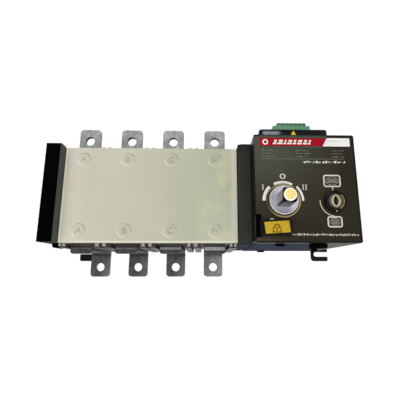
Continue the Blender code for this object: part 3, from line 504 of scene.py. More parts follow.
CREAM_INK = ink("cream_ink", (206, 200, 182), uneven=(0.80, 1.10))
GREY_INK = ink("grey_ink", (118, 118, 106), uneven=(0.85, 1.10))
SYMBOL_INK = ink("symbol_ink", (150, 147, 134), uneven=(0.6, 1.25))
LINE_INK = ink("line_ink", (110, 110, 98))
TEAL_INK = ink("teal_ink", (52, 72, 62))
YELLOW_INK = ink("yellow_ink", (240, 200, 44))
BROWN_INK = ink("brown_ink", (86, 70, 18))
STICKER = sticker_yellow()


# ---------------------------------------------------------------- geometry helpers
def show(name, data, place=(0, 0, 0), turn=(0, 0, 0)):
    """A new object in the scene."""
    obj = bpy.data.objects.new(name, data)
    obj.location = place
    obj.rotation_euler = turn
    bpy.context.scene.collection.objects.link(obj)
    return obj


def merged(parts):
    """Several bmeshes as one."""
    whole = bmesh.new()
    for part in parts:
        mesh = bpy.data.meshes.new("part")
        part.to_mesh(mesh)
        part.free()
        whole.from_mesh(mesh)
        bpy.data.meshes.remove(mesh)
    return whole


def piece(name, bm, material, slot, body="root", replaces=(), smooth=35.0):
    """A finished piece from one bmesh or a list of them, in the model's frame."""
    if isinstance(bm, list):
        bm = merged(bm)
    mesh = bpy.data.meshes.new(name)
    bmesh.ops.recalc_face_normals(bm, faces=bm.faces)
    bm.to_mesh(mesh)
    bm.free()
    mesh.shade_smooth()
    mesh.set_sharp_from_angle(angle=math.radians(smooth))
    mesh.materials.append(material)
    obj = show(name, mesh)
    obj.modifiers.new("normals", "WEIGHTED_NORMAL").keep_sharp = True
    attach(obj, body)
    if replaces:
        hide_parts(*replaces)
    return obj


def refine(node, material, edge=0.0):
    """Keeps a CAD node's shape, with rounded edges and a procedural material."""
    obj = frame["nodes"][node]
    obj.data.materials.clear()
    obj.data.materials.append(material)
    obj.modifiers.new("weld", "WELD").merge_threshold = 0.00001
    flat = obj.modifiers.new("planar", "DECIMATE")
    flat.decimate_type = "DISSOLVE"
    flat.angle_limit = math.radians(0.5)
    if edge:
        bevel = obj.modifiers.new("edges", "BEVEL")
        bevel.width = edge * MM
        bevel.segments = 2
        bevel.limit_method = "ANGLE"
        bevel.angle_limit = math.radians(35)
    obj.data.shade_smooth()
    obj.modifiers.new("normals", "WEIGHTED_NORMAL").keep_sharp = True


def middle_x(node):
    low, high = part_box(node)
    return (low.x + high.x) / 2


def circle(x, z, radius, steps=48, start=0.0, end=360.0):
    """Points on a circle or an arc in the XZ plane, anticlockwise from the front."""
    count = steps if end - start == 360.0 else steps + 1
    turns = [math.radians(start + (end - start) * i / steps) for i in range(count)]
    return at(x, z, *((radius * math.cos(t), radius * math.sin(t)) for t in turns))


def oval(x, z, half_width, half_height):
    turns = [math.tau * i / 40 for i in range(40)]
    return at(x, z, *((half_width * math.cos(t), half_height * math.sin(t)) for t in turns))


def lens(x, z, half_width, half_height, steps=12):
    """Two arcs that meet in a point above and below."""
    rise = (half_height ** 2 - half_width ** 2) / (2 * half_width)
    turn = math.degrees(math.atan2(half_height, rise))
    right = circle(x - rise * MM, z, half_width + rise, steps, -turn, turn)
    left = circle(x + rise * MM, z, half_width + rise, steps, 180 - turn, 180 + turn)
    return right[:-1] + left[:-1]


def rectangle(x, z, u0, u1, v0, v1):
    return at(x, z, (u0, v0), (u1, v0), (u1, v1), (u0, v1))


def rounded(x0, x1, z0, z1, radius):
    """A rectangle with round corners. The radius is one number or four, from the lower left anticlockwise."""
    radii = [radius * MM] * 4 if isinstance(radius, (int, float)) else [r * MM for r in radius]
    corners = [(x0, z0, 1, 1, 180), (x1, z0, -1, 1, 270), (x1, z1, -1, -1, 0), (x0, z1, 1, -1, 90)]
    points = []
    for (x, z, sx, sz, start), r in zip(corners, radii):
        points += circle(x + sx * r, z + sz * r, r / MM, 6, start, start + 90) if r else [(x, z)]
    return points


def band(x, z, inner, outer, start, end):
    """The outline of a flat arc between two radii."""
    return circle(x, z, outer, 24, start, end) + circle(x, z, inner, 24, start, end)[::-1]


TURN_TO = {
    "X": Matrix(((0, 0, 1, 0), (1, 0, 0, 0), (0, 1, 0, 0), (0, 0, 0, 1))),
    "Y": Matrix.Rotation(math.pi / 2, 4, "X"),
    "Z": Matrix.Identity(4),
}


def filled(curve, axis, middle):
    """The mesh of a filled 2D curve or text, turned to lie across an axis at one place."""
    obj = show("outline", curve)
    bpy.context.view_layer.update()
    evaluated = obj.evaluated_get(bpy.context.evaluated_depsgraph_get())
    mesh = bpy.data.meshes.new_from_object(evaluated)
    bm = bmesh.new()
    bm.from_mesh(mesh)
    bmesh.ops.transform(bm, matrix=Matrix.Translation(middle) @ TURN_TO[axis], verts=bm.verts)
    bmesh.ops.remove_doubles(bm, verts=bm.verts, dist=1e-6)
    bpy.data.objects.remove(obj)
    bpy.data.curves.remove(curve)
    bpy.data.meshes.remove(mesh)
    return bm


def sheet(loops, start, end, edge=0.0, axis="Y"):
    """A bmesh of a sheet between two planes across an axis, from an outline and any holes in it."""
    curve = bpy.data.curves.new("outline", "CURVE")
    curve.dimensions = "2D"
    curve.fill_mode = "BOTH"
    curve.extrude = abs(end - start) / 2 - edge * MM
    curve.bevel_depth = edge * MM
    curve.bevel_resolution = 2
    curve.offset = -edge * MM
    for loop in loops:
        spline = curve.splines.new("POLY")
        spline.points.add(len(loop) - 1)
        for point, (u, v) in zip(spline.points, loop):
            point.co = (u, v, 0.0, 1.0)
        spline.use_cyclic_u = True
    middle = Vector()
    middle["XYZ".index(axis)] = (start + end) / 2
    return filled(curve, axis, middle)


def letter(text, x, z, y):
    """A bmesh of one raised letter on the floor of a sunk mark."""
    curve = bpy.data.curves.new("text", "FONT")
    curve.body = text
    curve.size = 7.0 * MM / 0.72
    curve.align_x = "CENTER"
    curve.align_y = "CENTER"
    curve.offset = 0.16 * MM
    curve.extrude = 0.19 * MM
    return filled(curve, "Y", (x, y + 0.31 * MM, z))


def turned(centre, base, profile, steps=64):
    """A bmesh turned about a line along Y. The profile's rows are (radius, offset from the base's Y)."""
    bm = bmesh.new()
    verts = [bm.verts.new((r * MM, base + y * MM, 0.0)) for r, y in profile]
    for first, second in zip(verts, verts[1:]):
        bm.edges.new((first, second))
    if profile[0][0] > 0:
        bm.edges.new((verts[-1], verts[0]))
    bmesh.ops.spin(
        bm, geom=bm.verts[:] + bm.edges[:], cent=(0, 0, 0), axis=(0, 1, 0), angle=math.tau, steps=steps,
        use_merge=True,
    )
    bmesh.ops.remove_doubles(bm, verts=bm.verts, dist=1e-6)
    bmesh.ops.translate(bm, vec=(centre[0], 0, centre[2]), verts=bm.verts)
    return bm


def loft(rings, around=True):
    """A bmesh skin through rings of points. It closes on itself, or ends in flat caps."""
    bm = bmesh.new()
    rows = [[bm.verts.new(point) for point in ring] for ring in rings]
    pairs = list(zip(rows, rows[1:]))
    if around:
        pairs.append((rows[-1], rows[0]))
    for first, second in pairs:
        for i in range(len(first)):
            j = (i + 1) % len(first)
            bm.faces.new((first[i], first[j], second[j], second[i]))
    if not around:
        bm.faces.new(rows[0])
        bm.faces.new(rows[-1])
    return bm


def block(x, y, z, edge=0.0, segments=2):
    """A bmesh box between two coordinates on each axis, with its edges rounded."""
    bm = bmesh.new()
    low, high = (Vector(corner) for corner in zip(x, y, z))
    place = Matrix.Translation((low + high) / 2) @ Matrix.Diagonal((*(high - low), 1.0))
    bmesh.ops.create_cube(bm, size=1.0, matrix=place)
    if edge:
        edges = bm.edges[:]
        bmesh.ops.bevel(bm, geom=edges, offset=edge * MM, segments=segments, affect="EDGES", profile=0.5)
    return bm


def stood(rings, centre, outward):
    """A capped skin through rings given about the Z axis, stood on a surface."""
    bm = loft([[(u, v, height * MM) for u, v in ring] for ring, height in rings], around=False)
    turn = Vector((0, 0, 1)).rotation_difference(Vector(outward)).to_matrix().to_4x4()
    bmesh.ops.transform(bm, matrix=Matrix.Translation(centre) @ turn, verts=bm.verts)
    return bm


def socket_screw(centre, outward, radius, height):
    """A screw head with a rounded rim and a hexagon socket."""
    rows = ((1.0, 0.0), (1.0, 0.65), (0.93, 0.9), (0.82, 1.0))
    rings = [(circle(0, 0, share * radius, 24), rise * height) for share, rise in rows]
    hexagon = []
    for i in range(24):
        turn = math.tau * i / 24
        reach = 0.45 * radius / math.cos((turn + math.pi / 6) % (math.pi / 3) - math.pi / 6)
        hexagon.append((reach * math.cos(turn), reach * math.sin(turn)))
    rings += [(at(0, 0, *hexagon), height), (at(0, 0, *hexagon), 0.25 * height)]
    return stood(rings, centre, outward)


def rivet(centre, outward=(1, 0, 0)):
    """A domed rivet head."""
    turns = [math.radians(a) for a in (0, 20, 40, 60, 78)]
    return stood([(circle(0, 0, 2.4 * math.cos(t), 24), 1.1 * math.sin(t)) for t in turns], centre, outward)


# ---------------------------------------------------------------- copper bars
def copper_bar(node, material):
    """One flat bar with round corners at its free end, rounded edges and a bolt hole whose wall is in darker
    tin as painted shade.
    """
    low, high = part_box(node)
    x = middle_x(node)
    if high.z > 0:
        radii, hole_z = (0, 0, BAR_CORNER, BAR_CORNER), high.z - 14.8 * MM
    else:
        radii, hole_z = (BAR_CORNER, BAR_CORNER, 0, 0), low.z + 12.3 * MM
    loops = [rounded(low.x, high.x, low.z, high.z, radii), circle(x, hole_z, BAR_HOLE, 40)]
    bar = piece(node + "_bar", sheet(loops, low.y, high.y, 0.45), material, "tinned_copper", replaces=(node,))
    bar.data.materials.append(TIN_SHADE)
    # The hole's wall takes the darker tin: painted shade.
    for face in bar.data.polygons:
        away = (face.center - Vector((x, face.center.y, hole_z))).length
        face.material_index = 1 if away < 6 * MM and abs(face.normal.y) < 0.9 else 0


def load_link(node, material, bottom, top):
    """The front module's lower leg in darker tin as painted shade, with a rounded ridge across it whose paler
    tin is a painted highlight.
    """
    refine(node, LINK_DARK, 0.4)
    low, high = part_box(node)
    ridge = block((low.x + 0.6 * MM, high.x - 0.6 * MM), span(low.y, -0.9, 0), span(0, bottom, top), 0.6, 3)
    piece(node + "_ridge", ridge, material, "tinned_copper")


RIDGES = ((-60.6, -58.0), (-60.6, -58.0), (-60.8, -57.7), (-61.6, -57.3))
# The load bars' tin is darker than the source terminals' as painted shade, with a level for each pole and a
# paler one for N as painted light; each bar is also paler to the right as painted light and darker near the
# housing as painted shade.
for phase, level, link_tin, ridge_z in zip(PHASES, (86, 83, 90, 115), LINK_TINS, RIDGES):
    copper_bar("source1_terminal_" + phase, TIN)
    copper_bar("source2_terminal_" + phase, TIN)
    low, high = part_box("load_bar_" + phase)
    paler = (low.x + (0 if phase == "N" else 10) * MM, high.x + 4 * MM)
    grey = (level, level, level - 2)
    dull = tinned_copper("shaded_tin_" + phase, grey, 0.5, (0.42, 1.55), paler, -63 * MM)
    copper_bar("load_bar_" + phase, dull)
    load_link("load_link_" + phase, link_tin, *ridge_z)


# ---------------------------------------------------------------- switch modules
def front_plate():
    """The cream plate with sunk phase marks, a letter in each, and a small clip near each end; the letters
    and clips are in a darker cream that is painted shade.
    """
    refine("front_plate", CREAM, 0.3)
    rims, letters = [], []
    y = PLATE_LOW.y
    for phase in PHASES:
        x = middle_x("source1_terminal_" + phase)
        for z in (40.5 * MM, -41.0 * MM):
            rims.append(turned((x, 0, z), y, [(7.97, 0.02), (6.9, 0.48), (7.97, 0.48)], 48))
            letters.append(letter(phase, x, z, y))
    piece("mark_rims", rims, RIM_CREAM, "cream_plastic")
    piece("mark_letters", letters, SHADED_CREAM, "cream_plastic")
    clips = [block(span(0, x, x + 3.2), span(y, 0.9, 4.2), span(0, -58, -54.4), 0.8)
             for x in (-159.4, -155.2, 27.0, 31.8)]
    piece("end_clips", clips, SHADED_CREAM, "cream_plastic")


def arc_vents():
    """Louvres over each pole's arc space, above and below both modules."""
    louvres, backs = [], []
    for phase in PHASES:
        x = middle_x("source1_terminal_" + phase)
        for module in ("front", "rear"):
            low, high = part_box(f"{module}_pole_housing_{phase}")
            start = high.y - 26 * MM if module == "front" else low.y + 6 * MM
            for side in (-1, 1):
                surface = side * PLATE_HIGH.z
                back_z, louvre_z = (sorted(span(surface, 0, side * rise)) for rise in (0.15, 1.3))
                backs.append(block(span(x, -13, 13), span(start, 0, 18), back_z))
                for step in range(6):
                    y = 0.8 + 3.2 * step
                    louvres.append(block(span(x, -11.5, 11.5), span(start, y, y + 1.3), louvre_z, 0.4))
    piece("arc_vent_louvres", louvres, DARK_MOULDING, "dark_moulding")
    piece("arc_vent_backs", backs, BLACK, "dark_moulding")


def through_bolts():
    """The nuts on the rear plate, on the bolts that hold both modules together."""
    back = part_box("rear_plate")[1].y
    rows = ((4.0, 0.0), (4.6, 0.0), (4.6, 2.6), (4.0, 3.2), (1.9, 3.2), (1.9, 4.2), (1.4, 4.6))
    nuts = []
    for x in (-155.5, -114, -64, -14, 31.5):
        for z in (-49.5, 25.0, 49.5):
            rings = [[(u, back + y * MM, v) for u, v in circle(x * MM, z * MM, r, 6)] for r, y in rows]
            nuts.append(loft(rings, around=False))
    piece("through_bolt_nuts", nuts, SCREW_STEEL, "black_steel", smooth=20)


def end_bar():
    """The black end bar with a grey inner side and four flush screws in its outer face."""
    refine("end_frame", END_BLACK, 0.5)
    low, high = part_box("end_frame")
    reach = PLATE_HIGH.z - 0.6 * MM
    side_y = (low.y + 0.6 * MM, PLATE_LOW.y - 0.1 * MM)
    side = block(span(high.x, -0.02, 0.15), side_y, (-reach, reach), 0.05, 1)
    piece("end_bar_side", side, END_GREY, "black_plastic")
    loops = [rounded(low.y + inset * MM, high.y - inset * MM, -half * MM, half * MM, radius)
             for inset, half, radius in ((6, 48, 4), (7.2, 46.8, 3))]
    piece("end_bar_frame_line", sheet(loops, *span(low.x, -0.2, 0), axis="X"), END_GREY, "black_plastic")
    screws = [socket_screw((low.x, y, z * MM), (-1, 0, 0), 4.0, 0.25)
              for y in (low.y + 14 * MM, high.y - 14 * MM) for z in (-38, 38)]
    piece("end_bar_screws", screws, SCREW_STEEL, "black_steel")


front_plate()
arc_vents()
through_bolts()
end_bar()


# ---------------------------------------------------------------- drive box: the printed face
def inked(*loops):
    """One flat shape on the face's film, from an outline and any holes in it."""
    return sheet(loops, FILM_Y, PRINT_Y)


def printed(name, loops, material):
    """Flat printing on the face's film."""
    piece(name, [inked(loop) for loop in loops], material, "olive_black_face")


def on_face(u0, u1, v0, v1):
    """A rectangle given from the cover's left edge and down from its top edge."""
    return rectangle(COVER_LOW.x, COVER_HIGH.z, u0, u1, -v1, -v0)


def blank_words(u0, u1, v0, v1, seed, stroke, gap):
    """A row of short uneven blocks, in groups, that stands for a line of small text."""
    blocks = []
    u = u0
    count = 0
    while u < u1:
        width = stroke * (1.0 + 0.6 * math.sin(seed * 7.31 + count * 2.17))
        rise = (v1 - v0) * (0.0 if math.sin(seed + count * 1.3) > 0.4 else 0.32)
        lift = (v1 - v0) * (0.35 if math.sin(seed * 3 + count * 2.9) > 0.5 else 0.0)
        blocks.append(on_face(u, min(u + width, u1), v0 + rise, v1 - lift))
        u += width + (gap * 3.0 if count % 5 == 4 else gap)
        count += 1
    return blocks


def film():
    """The olive-black film, open round the dial, the lock and the hasp's notch."""
    left, bottom = COVER_LOW.x, COVER_LOW.z
    right, top = (COVER_HIGH.x - left) / MM - 2.4, (COVER_HIGH.z - bottom) / MM - 2.2
    outline = at(left, bottom, (0.7, 2.0), (right, 2.0), (right, top), (0.7, top), (0.7, 29.5), (5.9, 29.5),
                 (5.9, 5.6), (0.7, 5.6))
    holes = [circle(DIAL.x, DIAL.z, 16.3, 64), circle(LOCK.x, LOCK.z, 9.6, 48)]
    piece("face_film", sheet([outline, *holes], FACE_Y, FILM_Y), FILM, "olive_black_face")
    depth = span(FACE_Y, 3.7, 3.99)
    sliver = block(span(left, 0.02, 0.8), depth, span(bottom, 8.1, 26.5), 0.1, 1)
    piece("notch_edge", sliver, BARE_BROWN, "olive_black_face")
    # A black sheet behind the hasp's notch: painted shade.
    shade = block(span(left, 0.8, 3.5), depth, span(bottom, 5.9, 29.2), 0.05, 1)
    piece("notch_shadow_sheet", shade, SHADE_BLACK, "olive_black_face")


def banner():
    """The red band with its pale end, a plain ring and a row of slanted blocks in place of a name."""
    left, top = COVER_LOW.x, COVER_HIGH.z
    red = at(left, top, (6.5, -13), (73.2, -13), (78.3, -3.6), (6.5, -3.6))
    white = at(left, top, (73.9, -13), (103.5, -13), (103.5, -3.6), (79, -3.6))
    printed("banner_red", [red], RED_INK)
    printed("banner_white", [white], PANEL_WHITE)
    printed("banner_lines", [on_face(6.5, 78.4, 0.9, 3.5), on_face(6.2, 72.6, 13.1, 15.0)], TEAL_INK)
    middle = top - 8.4 * MM
    raised = span(PRINT_Y, 0, -0.03)
    parts = [sheet([circle(left + 12.6 * MM, middle, radius, 32) for radius in (3.1, 1.7)], *raised)]
    u = 20.6
    for width in (3.6, 5.2, 2.6, 4.6, 3.2, 5.0, 3.8, 2.8):
        for bottom, top, inner in ((-2.5, -0.5, 0.0), (0.3, 2.5, 0.9)):
            low_u, high_u = u + (bottom + 2.5) / 5, u + (top + 2.5) / 5
            loop = at(left, middle, (low_u + inner, bottom), (low_u + width, bottom), (high_u + width, top),
                      (high_u + inner, top))
            parts.append(sheet([loop], *raised))
        u += width + 1.35
    piece("banner_blocks", parts, WHITE_INK, "olive_black_face")


def text_rows():
    """Blank rows where the photographed switch carries its data, title and caption."""
    rows = []
    for u0, u1, seed in ((8.4, 20.3, 1.0), (44.8, 58.0, 2.0), (83.3, 95.5, 3.0)):
        for row, v in enumerate((17.2, 20.6, 24.0)):
            end = u1 + 1.6 * math.sin(seed * 3 + row * 2.4)
            rows += blank_words(u0, end, v, v + 1.25, seed + row * 0.7, 0.85, 0.5)
    printed("data_rows", rows, GREY_INK)
    printed("data_line", [on_face(7.2, 96.2, 27.0, 27.45)], LINE_INK)
    printed("title_row", blank_words(51.7, 96.6, 29.3, 31.8, 5.0, 1.1, 0.75), WHITE_INK)
    caption = []
    for word in range(12):
        u, drop = 34.0 + word * 5.9, 0.04 * word
        caption += blank_words(u, u + 5.3, 105.9 + drop, 108.2 + drop, 9.0 + word * 1.7, 0.8, 0.65)
    printed("caption_row", caption, CREAM_INK)


def dial_marks():
    """The arcs and the numerals round the dial."""
    x, z = DIAL.x, DIAL.z
    arcs = ((18.2, 21.4, 133.5, 180.5), (18.0, 20.8, 59.5, 117.5), (19.5, 21.8, -0.5, 45.5))
    printed("dial_arcs", [band(x, z, *arc) for arc in arcs], WHITE_INK)
    zero = (x + 0.4 * MM, z + 25.8 * MM)
    core = lens(*zero, 1.35, 2.2)
    numerals = [inked(oval(*zero, 3.1, 2.9), core)]
    printed("zero_core", [core], BLACK)
    for one in at(x, z, (-20.6, 14.0), (21.3, 14.2), (24.4, 14.3)):
        for stroke in ((-0.5, 0.5, -3.0, 3.0), (-1.15, 1.15, 2.4, 3.0), (-1.15, 1.15, -3.0, -2.4)):
            numerals.append(inked(rectangle(*one, *stroke)))
    piece("dial_numerals", numerals, NUMERAL_INK, "olive_black_face")


def mode_symbols():
    """Round-cornered symbols above and below the lock, with an oval and rows inside, and lines between."""
    x, z = LOCK.x, LOCK.z
    outlines, inside = [], []
    for x0, x1, z0, z1 in ((-10.3, 8.0, 15.3, 28.6), (-8.9, 6.6, -26.9, -15.4)):
        loops = [rounded(*span(x, x0 + inset, x1 - inset), *span(z, z0 + inset, z1 - inset), radius)
                 for inset, radius in ((0, 2.8), (1.4, 1.4))]
        outlines.append(inked(*loops))
        middle = (x + (x0 + x1) / 2 * MM, z + (z0 + z1) / 2 * MM)
        half = ((x1 - x0) / 2 - 2.2, (z1 - z0) / 2 - 2.0)
        inside.append(inked(oval(*middle, *half), oval(*middle, half[0] - 0.5, half[1] - 0.5)))
        for row in (-1.9, -0.6, 0.7, 2.0):
            reach = (half[0] - 1.6) * math.sqrt(1 - (row / (half[1] + 0.4)) ** 2)
            inside.append(inked(rectangle(*middle, -reach, reach, row - 0.3, row + 0.3)))
    piece("mode_frames", outlines, CREAM_INK, "olive_black_face")
    piece("mode_ovals", inside, SYMBOL_INK, "olive_black_face")
    stem = rectangle(x, z, -1.6, -0.5, 11.4, 15.5)
    printed("mode_lines", [stem, band(x, z, 14.7, 15.5, 175, 265)], CREAM_INK)


# ---------------------------------------------------------------- drive box: dial, lock and hasp
def gear(centre, teeth, tip, root, bore=0, holes=0):
    """A spur wheel with straight-sided teeth, with a bore and a ring of lightening holes if asked."""
    x, z = centre.x, centre.z
    points = []
    for tooth in range(teeth):
        for share, radius in ((0.02, root), (0.16, tip), (0.34, tip), (0.48, root)):
            turn = math.tau * (tooth + share + 0.25) / teeth
            points.append((radius * math.cos(turn), radius * math.sin(turn)))
    loops = [at(x, z, *points)]
    if bore:
        loops.append(circle(x, z, bore, 32))
    turns = [math.tau * i / holes for i in range(holes)]
    loops += [circle(*at(x, z, (13.5 * math.cos(t), 13.5 * math.sin(t)))[0], 4, 24) for t in turns]
    return sheet(loops, *span(PINION.y, -3, 3), 0.2)


def drive_shaft():
    """The dial disc, the square bar with its round tip, the drive gear and the axle with two cam drums."""
    steel = ("bright_steel", "drive_shaft")
    tip_y, back_y = (corner.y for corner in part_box("drive_shaft"))
    disc_front, bar_front = FACE_Y - 5 * MM, tip_y + 2 * MM
    disc = [(0, 1.5), (9, 1.5), (12.6, 0.9), (13.8, 0.15), (14.5, 0), (15, 0.4), (15, 7), (14.4, 7.5),
            (0, 7.5)]
    piece("dial_disc", turned(DIAL, disc_front, disc, 72), DISC_METAL, *steel, ("drive_shaft",))
    corners = []
    for quarter in range(4):
        angle = math.radians(90 * quarter + SQUARE_TURN)
        cos, sin = math.cos(angle), math.sin(angle)
        for v in (-SQUARE_FLAT, SQUARE_FLAT):
            corners.append((SQUARE_HALF * cos + v * sin, v * cos - SQUARE_HALF * sin))
    outline = at(DIAL.x, DIAL.z, *reversed(corners))
    side = sheet([outline], bar_front + 0.6 * MM, disc_front + 2.5 * MM, 0.15)
    bar = piece("square_bar", side, SQUARE_METAL, *steel)
    bar.data.materials.append(BLACK)
    for face in bar.data.polygons:
        heading = math.degrees(math.atan2(face.normal.z, face.normal.x)) + SQUARE_TURN
        leaning = min(abs(heading - corner) for corner in (-135, -45, 45, 135))
        face.material_index = 1 if abs(face.normal.y) < 0.7 and leaning < 20 else 0
    piece("square_bar_end", sheet([outline], *span(bar_front, 0, 0.6), 0.25), BLACK, *steel)
    # The rim round the tip is in near-white metal: painted highlight.
    rim = [(5.0, 0.12), (5.7, 0), (6.2, 0.5), (6.2, 2), (5.0, 2)]
    piece("tip_rim", turned(DIAL, tip_y, rim, 48), RIM_METAL, *steel)
    tip = [(0, 0.25), (4.4, 0.25), (4.98, 0.35), (4.98, 2), (0, 2)]
    piece("tip_face", turned(DIAL, tip_y, tip, 48), TIP, *steel)
    start, end = disc_front / MM + 7.6, back_y / MM
    half_drum = ((7.6, 3.2), (9, 3.4), (9, 9.4), (8.4, 10), (5, 10))
    drum = [(radius, -y) for radius, y in reversed(half_drum)] + [*half_drum]
    axle = [(0, start), (5, start)]
    for name in ("front_rotor_turn", "rear_rotor_turn"):
        middle = JOINTS[name]["pos_m"][1] / MM
        axle += [(radius, middle + y) for radius, y in drum]
    axle += [(5, end - 0.6), (4.4, end), (0, end)]
    piece("drive_axle", turned(DIAL, 0, axle, 48), GEAR_STEEL, *steel)
    piece("drive_gear", gear(DIAL, 24, 24.5, 22.3, 5.1, 6), GEAR_STEEL, *steel)
    spindle = turned(PINION, PINION.y, [(0, -4.5), (2.6, -4.5), (3, -4.1), (3, 8.8), (0, 8.8)], 32)
    pinion = [gear(PINION, 8, 8.0, 5.8), spindle]
    piece("pinion_gear", pinion, GEAR_STEEL, "bright_steel", "motor_pinion", ("motor_pinion",))


def key_lock():
    """A glossy black bezel with a gold inner ring, and the turning cylinder with its eye-shaped opening."""
    x, z = LOCK.x, LOCK.z
    front, back = (corner.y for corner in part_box("lock_barrel"))
    rim, end = (FACE_Y - front) / MM - 0.3, (back - front) / MM
    rows = [(8.3, 0.9), (9.6, 0.8), (10.0, 0.15), (10.5, 0), (11.0, 0.3), (11.2, 1.0), (11.2, rim),
            (9.3, rim), (9.3, end), (8.3, end)]
    bezel = turned(LOCK, front, rows, 72)
    piece("lock_bezel", bezel, LOCK_BLACK, "black_plastic", replaces=("lock_barrel",))
    trim = sheet([band(x, z, 8.0, 9.5, -62, 50)], *span(front, 0.45, 1.05), 0.15)
    piece("lock_trim", trim, LOCK_GOLD, "yellow_zinc")
    dot = turned((x, 0, z - 10.4 * MM), front, [(0, -0.12), (0.5, 0), (0.5, 0.3), (0, 0.3)], 16)
    piece("lock_dot", dot, WHITE_INK, "black_plastic")
    steel = ("bright_steel", "key_cylinder")
    low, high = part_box("key_cylinder")
    face = sheet([circle(x, z, 7.2, 56), lens(x, z, 4.8, 6.5)], *span(low.y, 0.2, 1.2), 0.12)
    piece("key_face", face, KEY_FACE, *steel, ("key_cylinder",))
    eye = sheet([lens(x, z, 4.75, 6.45), lens(x, z, 2.7, 5.4)], *span(low.y, 0, 1.2), 0.1)
    piece("key_eye", eye, KEY_METAL, *steel)
    slot = rounded(*span(x, -1.1, 1.1), *span(z, -4.0, 4.0), 0.5)
    piece("key_floor", sheet([circle(x, z, 7.9, 56), slot], *span(low.y, 1.25, 6)), KEY_DARK, *steel)
    end = (high.y - low.y) / MM
    barrel = turned(LOCK, low.y, [(0, 6.05), (7.95, 6.05), (7.95, end), (0, end)], 56)
    piece("key_barrel", barrel, SCREW_STEEL, *steel)
    cam = rounded(*span(x, -4, 4), low.z, z + 3.9 * MM, (3.9, 3.9, 0, 0))
    piece("lock_cam", sheet([cam], *span(high.y, 0.02, 2.5), 0.2), GEAR_STEEL, *steel)


def padlock_hasp():
    """The black hasp with a yellow sticker that shows a plain padlock, and a small arc printed above it."""
    refine("padlock_hasp", LOCK_BLACK, 0.3)
    hasp = ("black_plastic", "padlock_hasp")
    low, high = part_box("padlock_hasp")
    corners = at(high.x, high.z, (-27.4, -14.2), (-2.4, -12.6), (-3.6, -0.8), (-28.7, -2.5))
    piece("hasp_sticker", sheet([corners], *span(low.y, -0.02, -0.16)), STICKER, *hasp)
    x, z = at(high.x, high.z, (-16.1, -8.6))[0]
    body = at(x, z, (-4.8, -4.3), (4.8, -4.3), (3.9, 1.2), (-3.9, 1.2))
    inner = at(x, z, (-3.7, -3.4), (3.7, -3.4), (3.0, 0.4), (-3.0, 0.4))
    shackle = band(x, z + 1.2 * MM, 2.1, 3.2, 0, 180)
    glyph = [sheet(loops, *span(low.y, -0.16, -0.20))
             for loops in ([body, inner], [shackle], [circle(x, z - 1.5 * MM, 0.9, 20)])]
    piece("hasp_glyph", glyph, BROWN_INK, *hasp)
    printed("hasp_arc", [band(low.x + 12.9 * MM, high.z - 0.6 * MM, 1.6, 2.4, 0, 180)], WHITE_INK)


# ---------------------------------------------------------------- drive box: shroud, plug, sheet metal
def terminal_shroud():
    """The glossy collar with a rounded top edge, and a plain yellow triangle on its front."""
    low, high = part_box("terminal_shroud")
    turns = [math.radians(15 * step) for step in range(7)]
    rows = [(0.0, low.z)] + [(3 * (1 - math.cos(t)), high.z - 3 * MM * (1 - math.sin(t))) for t in turns]
    rows += [(3.3, high.z - 0.3 * MM), (3.3, high.z - 1.2 * MM), (2.2, high.z - 2.4 * MM), (2.2, low.z)]
    rings = []
    for inset, z in rows:
        x, y = (low.x + inset * MM, high.x - inset * MM), (low.y + inset * MM, high.y - inset * MM)
        rings.append([(u, v, z) for u, v in rounded(*x, *y, max(3.6 - inset, 0.4))])
    piece("shroud_shell", loft(rings), GLOSS, "gloss_black", replaces=("terminal_shroud",))
    triangle = at((low.x + high.x) / 2, high.z, (-3.4, -8.4), (3.2, -8.4), (0.2, -2.7), (-0.4, -2.7))
    piece("shroud_triangle", sheet([triangle], *span(low.y, -0.1, 0)), YELLOW_INK, "gloss_black")


def control_plug():
    """The green header and plug, with a screw in a rimmed well and a rib for each way."""
    refine("terminal_header", GREEN, 0.3)
    refine("terminal_plug", GREEN, 0.3)
    low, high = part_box("terminal_plug")
    ways = [middle_x("terminal_plug") + way * PLUG_PITCH * MM for way in range(-3, 4)]
    well_z = high.z - 2.1 * MM
    screws = [socket_screw((x, low.y + 1.9 * MM, well_z), (0, -1, 0), 1.5, 0.9) for x in ways]
    piece("plug_screws", screws, SCREW_STEEL, "black_steel", "terminal_plug")
    rib_y, rib_z = span(low.y, -0.3, 0.1), span(high.z, -12.4, -8.2)
    ribs = [block(span(x, -0.35, 0.35), rib_y, rib_z, 0.1, 1) for x in ways]
    piece("plug_ribs", ribs, GREEN_DARK, "green_plastic", "terminal_plug")
    rim = [(1.65, -0.08), (2.05, -0.08), (2.05, 0), (1.65, 0)]
    wells = [turned((x, 0, well_z), low.y, rim, 24) for x in ways]
    piece("plug_well_rims", wells, GREEN_DARK, "green_plastic", "terminal_plug")


